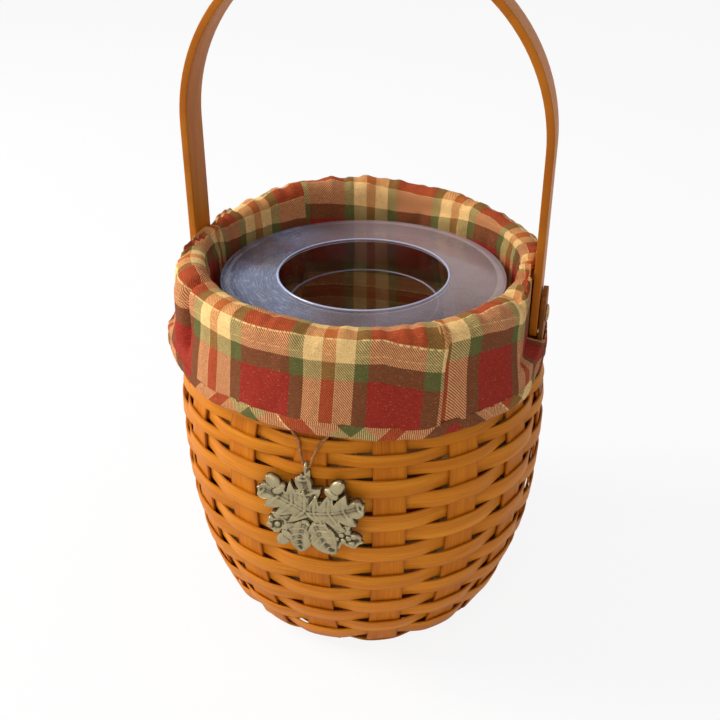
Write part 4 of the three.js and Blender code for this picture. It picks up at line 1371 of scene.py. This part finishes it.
def cast_spray():
    """A grid cut to the spray's outline, drawn forward and raised to its heights, with the eye on its top."""
    steps, reach = 220, 27.5
    cell = 2 * reach / steps
    bpy.ops.mesh.primitive_grid_add(x_subdivisions=steps, y_subdivisions=steps, size=2 * reach * mm,
                                    location=ornament_middle, rotation=(math.pi / 2, 0, 0))
    obj = added("cast_leaf_spray")
    heights = {(i, j): cast_height(i * cell - reach, j * cell - reach)
               for i in range(steps + 1) for j in range(steps + 1)}

    def cell_of(co):
        return round((co.x / mm + reach) / cell), round(((co.z - ornament_height) / mm + reach) / cell)

    def off_spray(face):
        return any(heights[cell_of(obj.data.vertices[index].co)] is None for index in face.vertices)

    without(obj, off_spray)
    pick(obj, lambda co: True)
    extrude((0, -1 * mm, 0))
    done()
    # The hollows between the leaves keep their dark patina
    hollow = obj.data.attributes.new("hollow", "FLOAT", "POINT")
    around_spot = [(i * 4, j * 4) for i in (-1, 0, 1) for j in (-1, 0, 1)]
    for vertex in obj.data.vertices:
        if vertex.co.y > -ornament_back - 0.5 * mm:
            hollow.data[vertex.index].value = 1.0
            continue
        column, row = cell_of(vertex.co)
        high = heights[column, row]
        near = [heights.get((column + i, row + j)) or 0.4 for i, j in around_spot]
        hollow.data[vertex.index].value = min(max((sum(near) / len(near) - high) * 1.4 + 0.35, 0), 1)
        vertex.co.y = -ornament_back - high * mm
    mended(obj)
    bpy.ops.mesh.primitive_torus_add(major_segments=40, minor_segments=14, major_radius=2.3 * mm,
                                     minor_radius=0.75 * mm, rotation=(0, math.pi / 2, 0),
                                     location=(0, -ornament_back - eye_forward, eye_height))
    added("eye")
    obj.select_set(True)
    bpy.context.view_layer.objects.active = obj
    bpy.ops.object.join()
    return smooth(obj)


def pewter_finish():
    finish = Finish("cast pewter")
    place = finish.object_place()
    hollow = finish.node("Attribute", attribute_name="hollow", attribute_type="GEOMETRY", output=2)
    cloud = finish.noise(place, scale=260, detail=4)
    grain = finish.noise(place, scale=2600, detail=2)
    dark = hollow.ramp(0.3, 0.62)
    base = finish.blend(dark * 0.9, paint(172, 158, 122), paint(66, 58, 42))
    base = finish.blend(cloud.ramp(0.4, 0.7) * 0.3, base, paint(112, 100, 74))
    normal = finish.bump(grain * 0.6 + cloud, 0.25, 0.0002)
    return finish.end(base, dark * 0.22 + cloud * 0.15 + 0.32, normal, Metallic=0.85)


finished(cast_spray(), "tie_on", "pewter", pewter_finish(), "ornament")


# Lace: a thin crinkled strip round the front upright, whose two ends hang to the eye

def make_lace_finish():
    finish = Finish("brown lace")
    fibre = finish.noise(finish.object_place(), scale=900, detail=3, roughness=0.7)
    base = finish.blend(fibre.ramp(0.35, 0.7), paint(126, 74, 24), paint(198, 126, 50))
    return finish.end(base, fibre * 0.3 + 0.45, finish.bump(fibre, 0.5, 0.0004))


lace_finish = make_lace_finish()


def lace_strand(name, points, body, node):
    bpy.ops.curve.primitive_nurbs_path_add()
    obj = bpy.context.object
    obj.name = name
    curve = obj.data
    curve.splines.clear()
    strand = curve.splines.new("NURBS")
    line = spline(points, 8)
    strand.points.add(len(line) - 1)
    for i, (dot, place) in enumerate(zip(strand.points, line)):
        crinkle = [noise.noise(place * 420 + Vector((shift, 0, 0))) * 0.12 * mm for shift in (0, 7, 14)]
        dot.co = (*(place + Vector(crinkle)), 1)
        dot.radius = 1 + 0.22 * noise.noise(place * 700)
        dot.tilt = i * 0.22
    strand.use_endpoint_u = True
    strand.order_u = 3
    curve.dimensions = "3D"
    curve.bevel_depth = 0.76 * mm
    curve.bevel_resolution = 3
    curve.use_fill_caps = True
    only(obj)
    bpy.ops.object.convert(target="MESH")
    smooth(mended(added(name)), 50)
    return finished(bpy.context.object, body, "lace", lace_finish, node)


lace_point, lace_along = side.at(lace_length)


def lace_place(out, across, drop=0.0, forward=0.0):
    """A point out from the gap that the lace runs in, across the upright, then lowered and drawn forward."""
    radius = lace_point.x + lace_along.y * out
    return Vector((across, -radius - forward, lace_point.y - lace_along.x * out - drop))


lace_reach, lace_behind, lace_front = 9.4 * mm, -1.5 * mm, 2.7 * mm
half_loop = [(lace_front, lace_reach), (lace_front / 2, lace_reach), (0, lace_reach),
             (lace_behind * 0.8, lace_reach - 0.6 * mm), (lace_behind, lace_reach - 1.8 * mm),
             (lace_behind, lace_reach / 2)]
loop_line = [lace_place(out, across) for out, across in half_loop]
loop_line += [lace_place(out, -across) for out, across in reversed(half_loop)]
lace_strand("laced_loop", loop_line, "basket", "lace_loop")
eye_seat = Vector((0, -ornament_back - eye_forward, eye_height + 0.6 * mm))
half_fall = [lace_place(lace_front + 0.3 * mm, lace_reach + 0.4 * mm),
             lace_place(lace_front + 0.9 * mm, lace_reach + 0.3 * mm, 2.0 * mm),
             lace_place(lace_front + 1.6 * mm, lace_reach - 0.9 * mm, 5.0 * mm, 0.3 * mm),
             lace_place(lace_front + 2.0 * mm, lace_reach - 4.2 * mm, 9.6 * mm, 0.7 * mm),
             eye_seat + Vector((3.0, 1.2, 4.6)) * mm,
             eye_seat + Vector((1.6, 0.2, 0.7)) * mm]
mirrored = [Vector((-p.x, p.y, p.z)) for p in reversed(half_fall)]
lace_strand("hanging_lace", half_fall + [eye_seat] + mirrored, "tie_on", "lace_fall")


# Floor, lights and camera

def ray_share(add, link, names=("Is Camera Ray", "Is Glossy Ray", "Is Transmission Ray")):
    """1 for a ray that goes from the camera, a gloss or clear plastic, so that these show a white studio."""
    rays = add("ShaderNodeLightPath")
    share = rays.outputs[names[0]]
    for name in names[1:]:
        most = add("ShaderNodeMath")
        most.operation = "MAXIMUM"
        link(share, most.inputs[0])
        link(rays.outputs[name], most.inputs[1])
        share = most.outputs[0]
    return share


def floor_finish():
    finish = Finish("white floor")
    finish.end(paint(248, 248, 250), 0.9)
    glow = finish.node("Emission", {"Color": (1, 1, 1, 1), "Strength": 1.0})
    seen = Socket(finish, ray_share(finish.tree.nodes.new, finish.tree.links.new))
    lit = Socket(finish, finish.shader.outputs[0])
    mixed = finish.node("MixShader", {0: seen * 0.88, 1: lit, 2: glow})
    finish.tree.links.new(mixed.socket, finish.tree.nodes["Material Output"].inputs["Surface"])
    return finish.material


bpy.ops.mesh.primitive_plane_add(size=12, location=(0, 0, -0.5 * mm))
floor = added("floor")
floor.data.materials.append(floor_finish())


def studio_world():
    """A soft pale light all round, which the camera sees as white."""
    world = bpy.data.worlds.new("studio")
    world.use_nodes = True
    tree = world.node_tree
    light = tree.nodes["Background"]
    light.inputs["Color"].default_value = (0.93, 0.95, 1.0, 1)
    light.inputs["Strength"].default_value = 0.4
    white = tree.nodes.new("ShaderNodeBackground")
    white.inputs["Color"].default_value = (1, 1, 1, 1)
    seen = ray_share(tree.nodes.new, tree.links.new)
    mix = tree.nodes.new("ShaderNodeMixShader")
    for place, socket in enumerate((seen, light.outputs[0], white.outputs[0])):
        tree.links.new(socket, mix.inputs[place])
    tree.links.new(mix.outputs[0], tree.nodes["World Output"].inputs["Surface"])
    return world


bpy.context.scene.world = studio_world()


def lamp(name, place, aim, size, power, colour):
    light = bpy.data.lights.new(name, "AREA")
    light.size = size
    light.energy = power
    light.color = colour
    obj = bpy.data.objects.new(name, light)
    bpy.context.scene.collection.objects.link(obj)
    obj.location = place
    obj.rotation_euler = (Vector(aim) - Vector(place)).to_track_quat("-Z", "Y").to_euler()


lamp("window", (-1.4, -0.2, 1.1), (0, 0, 0.12), 0.8, 27, (1.0, 0.97, 0.93))
lamp("room", (-0.15, -1.1, 0.85), (0, 0, 0.14), 0.7, 2.6, (1.0, 0.95, 0.88))

# The camera stands to the right of the front and looks down, turned a little to frame the basket
camera_away, camera_height = 0.467, 0.398
azimuth, pitch, turned_aside = math.radians(15), math.radians(29.5), math.atan(3.8 / 989)
camera = bpy.data.cameras.new("camera")
camera.sensor_width = 36
camera.lens = 49.45
view = bpy.data.objects.new("camera", camera)
bpy.context.scene.collection.objects.link(view)
view.location = (camera_away * math.sin(azimuth), -camera_away * math.cos(azimuth), camera_height)
view.rotation_euler = (math.pi / 2 - pitch, 0, azimuth + turned_aside)
bpy.context.scene.camera = view
bpy.context.scene.view_settings.view_transform = "Standard"
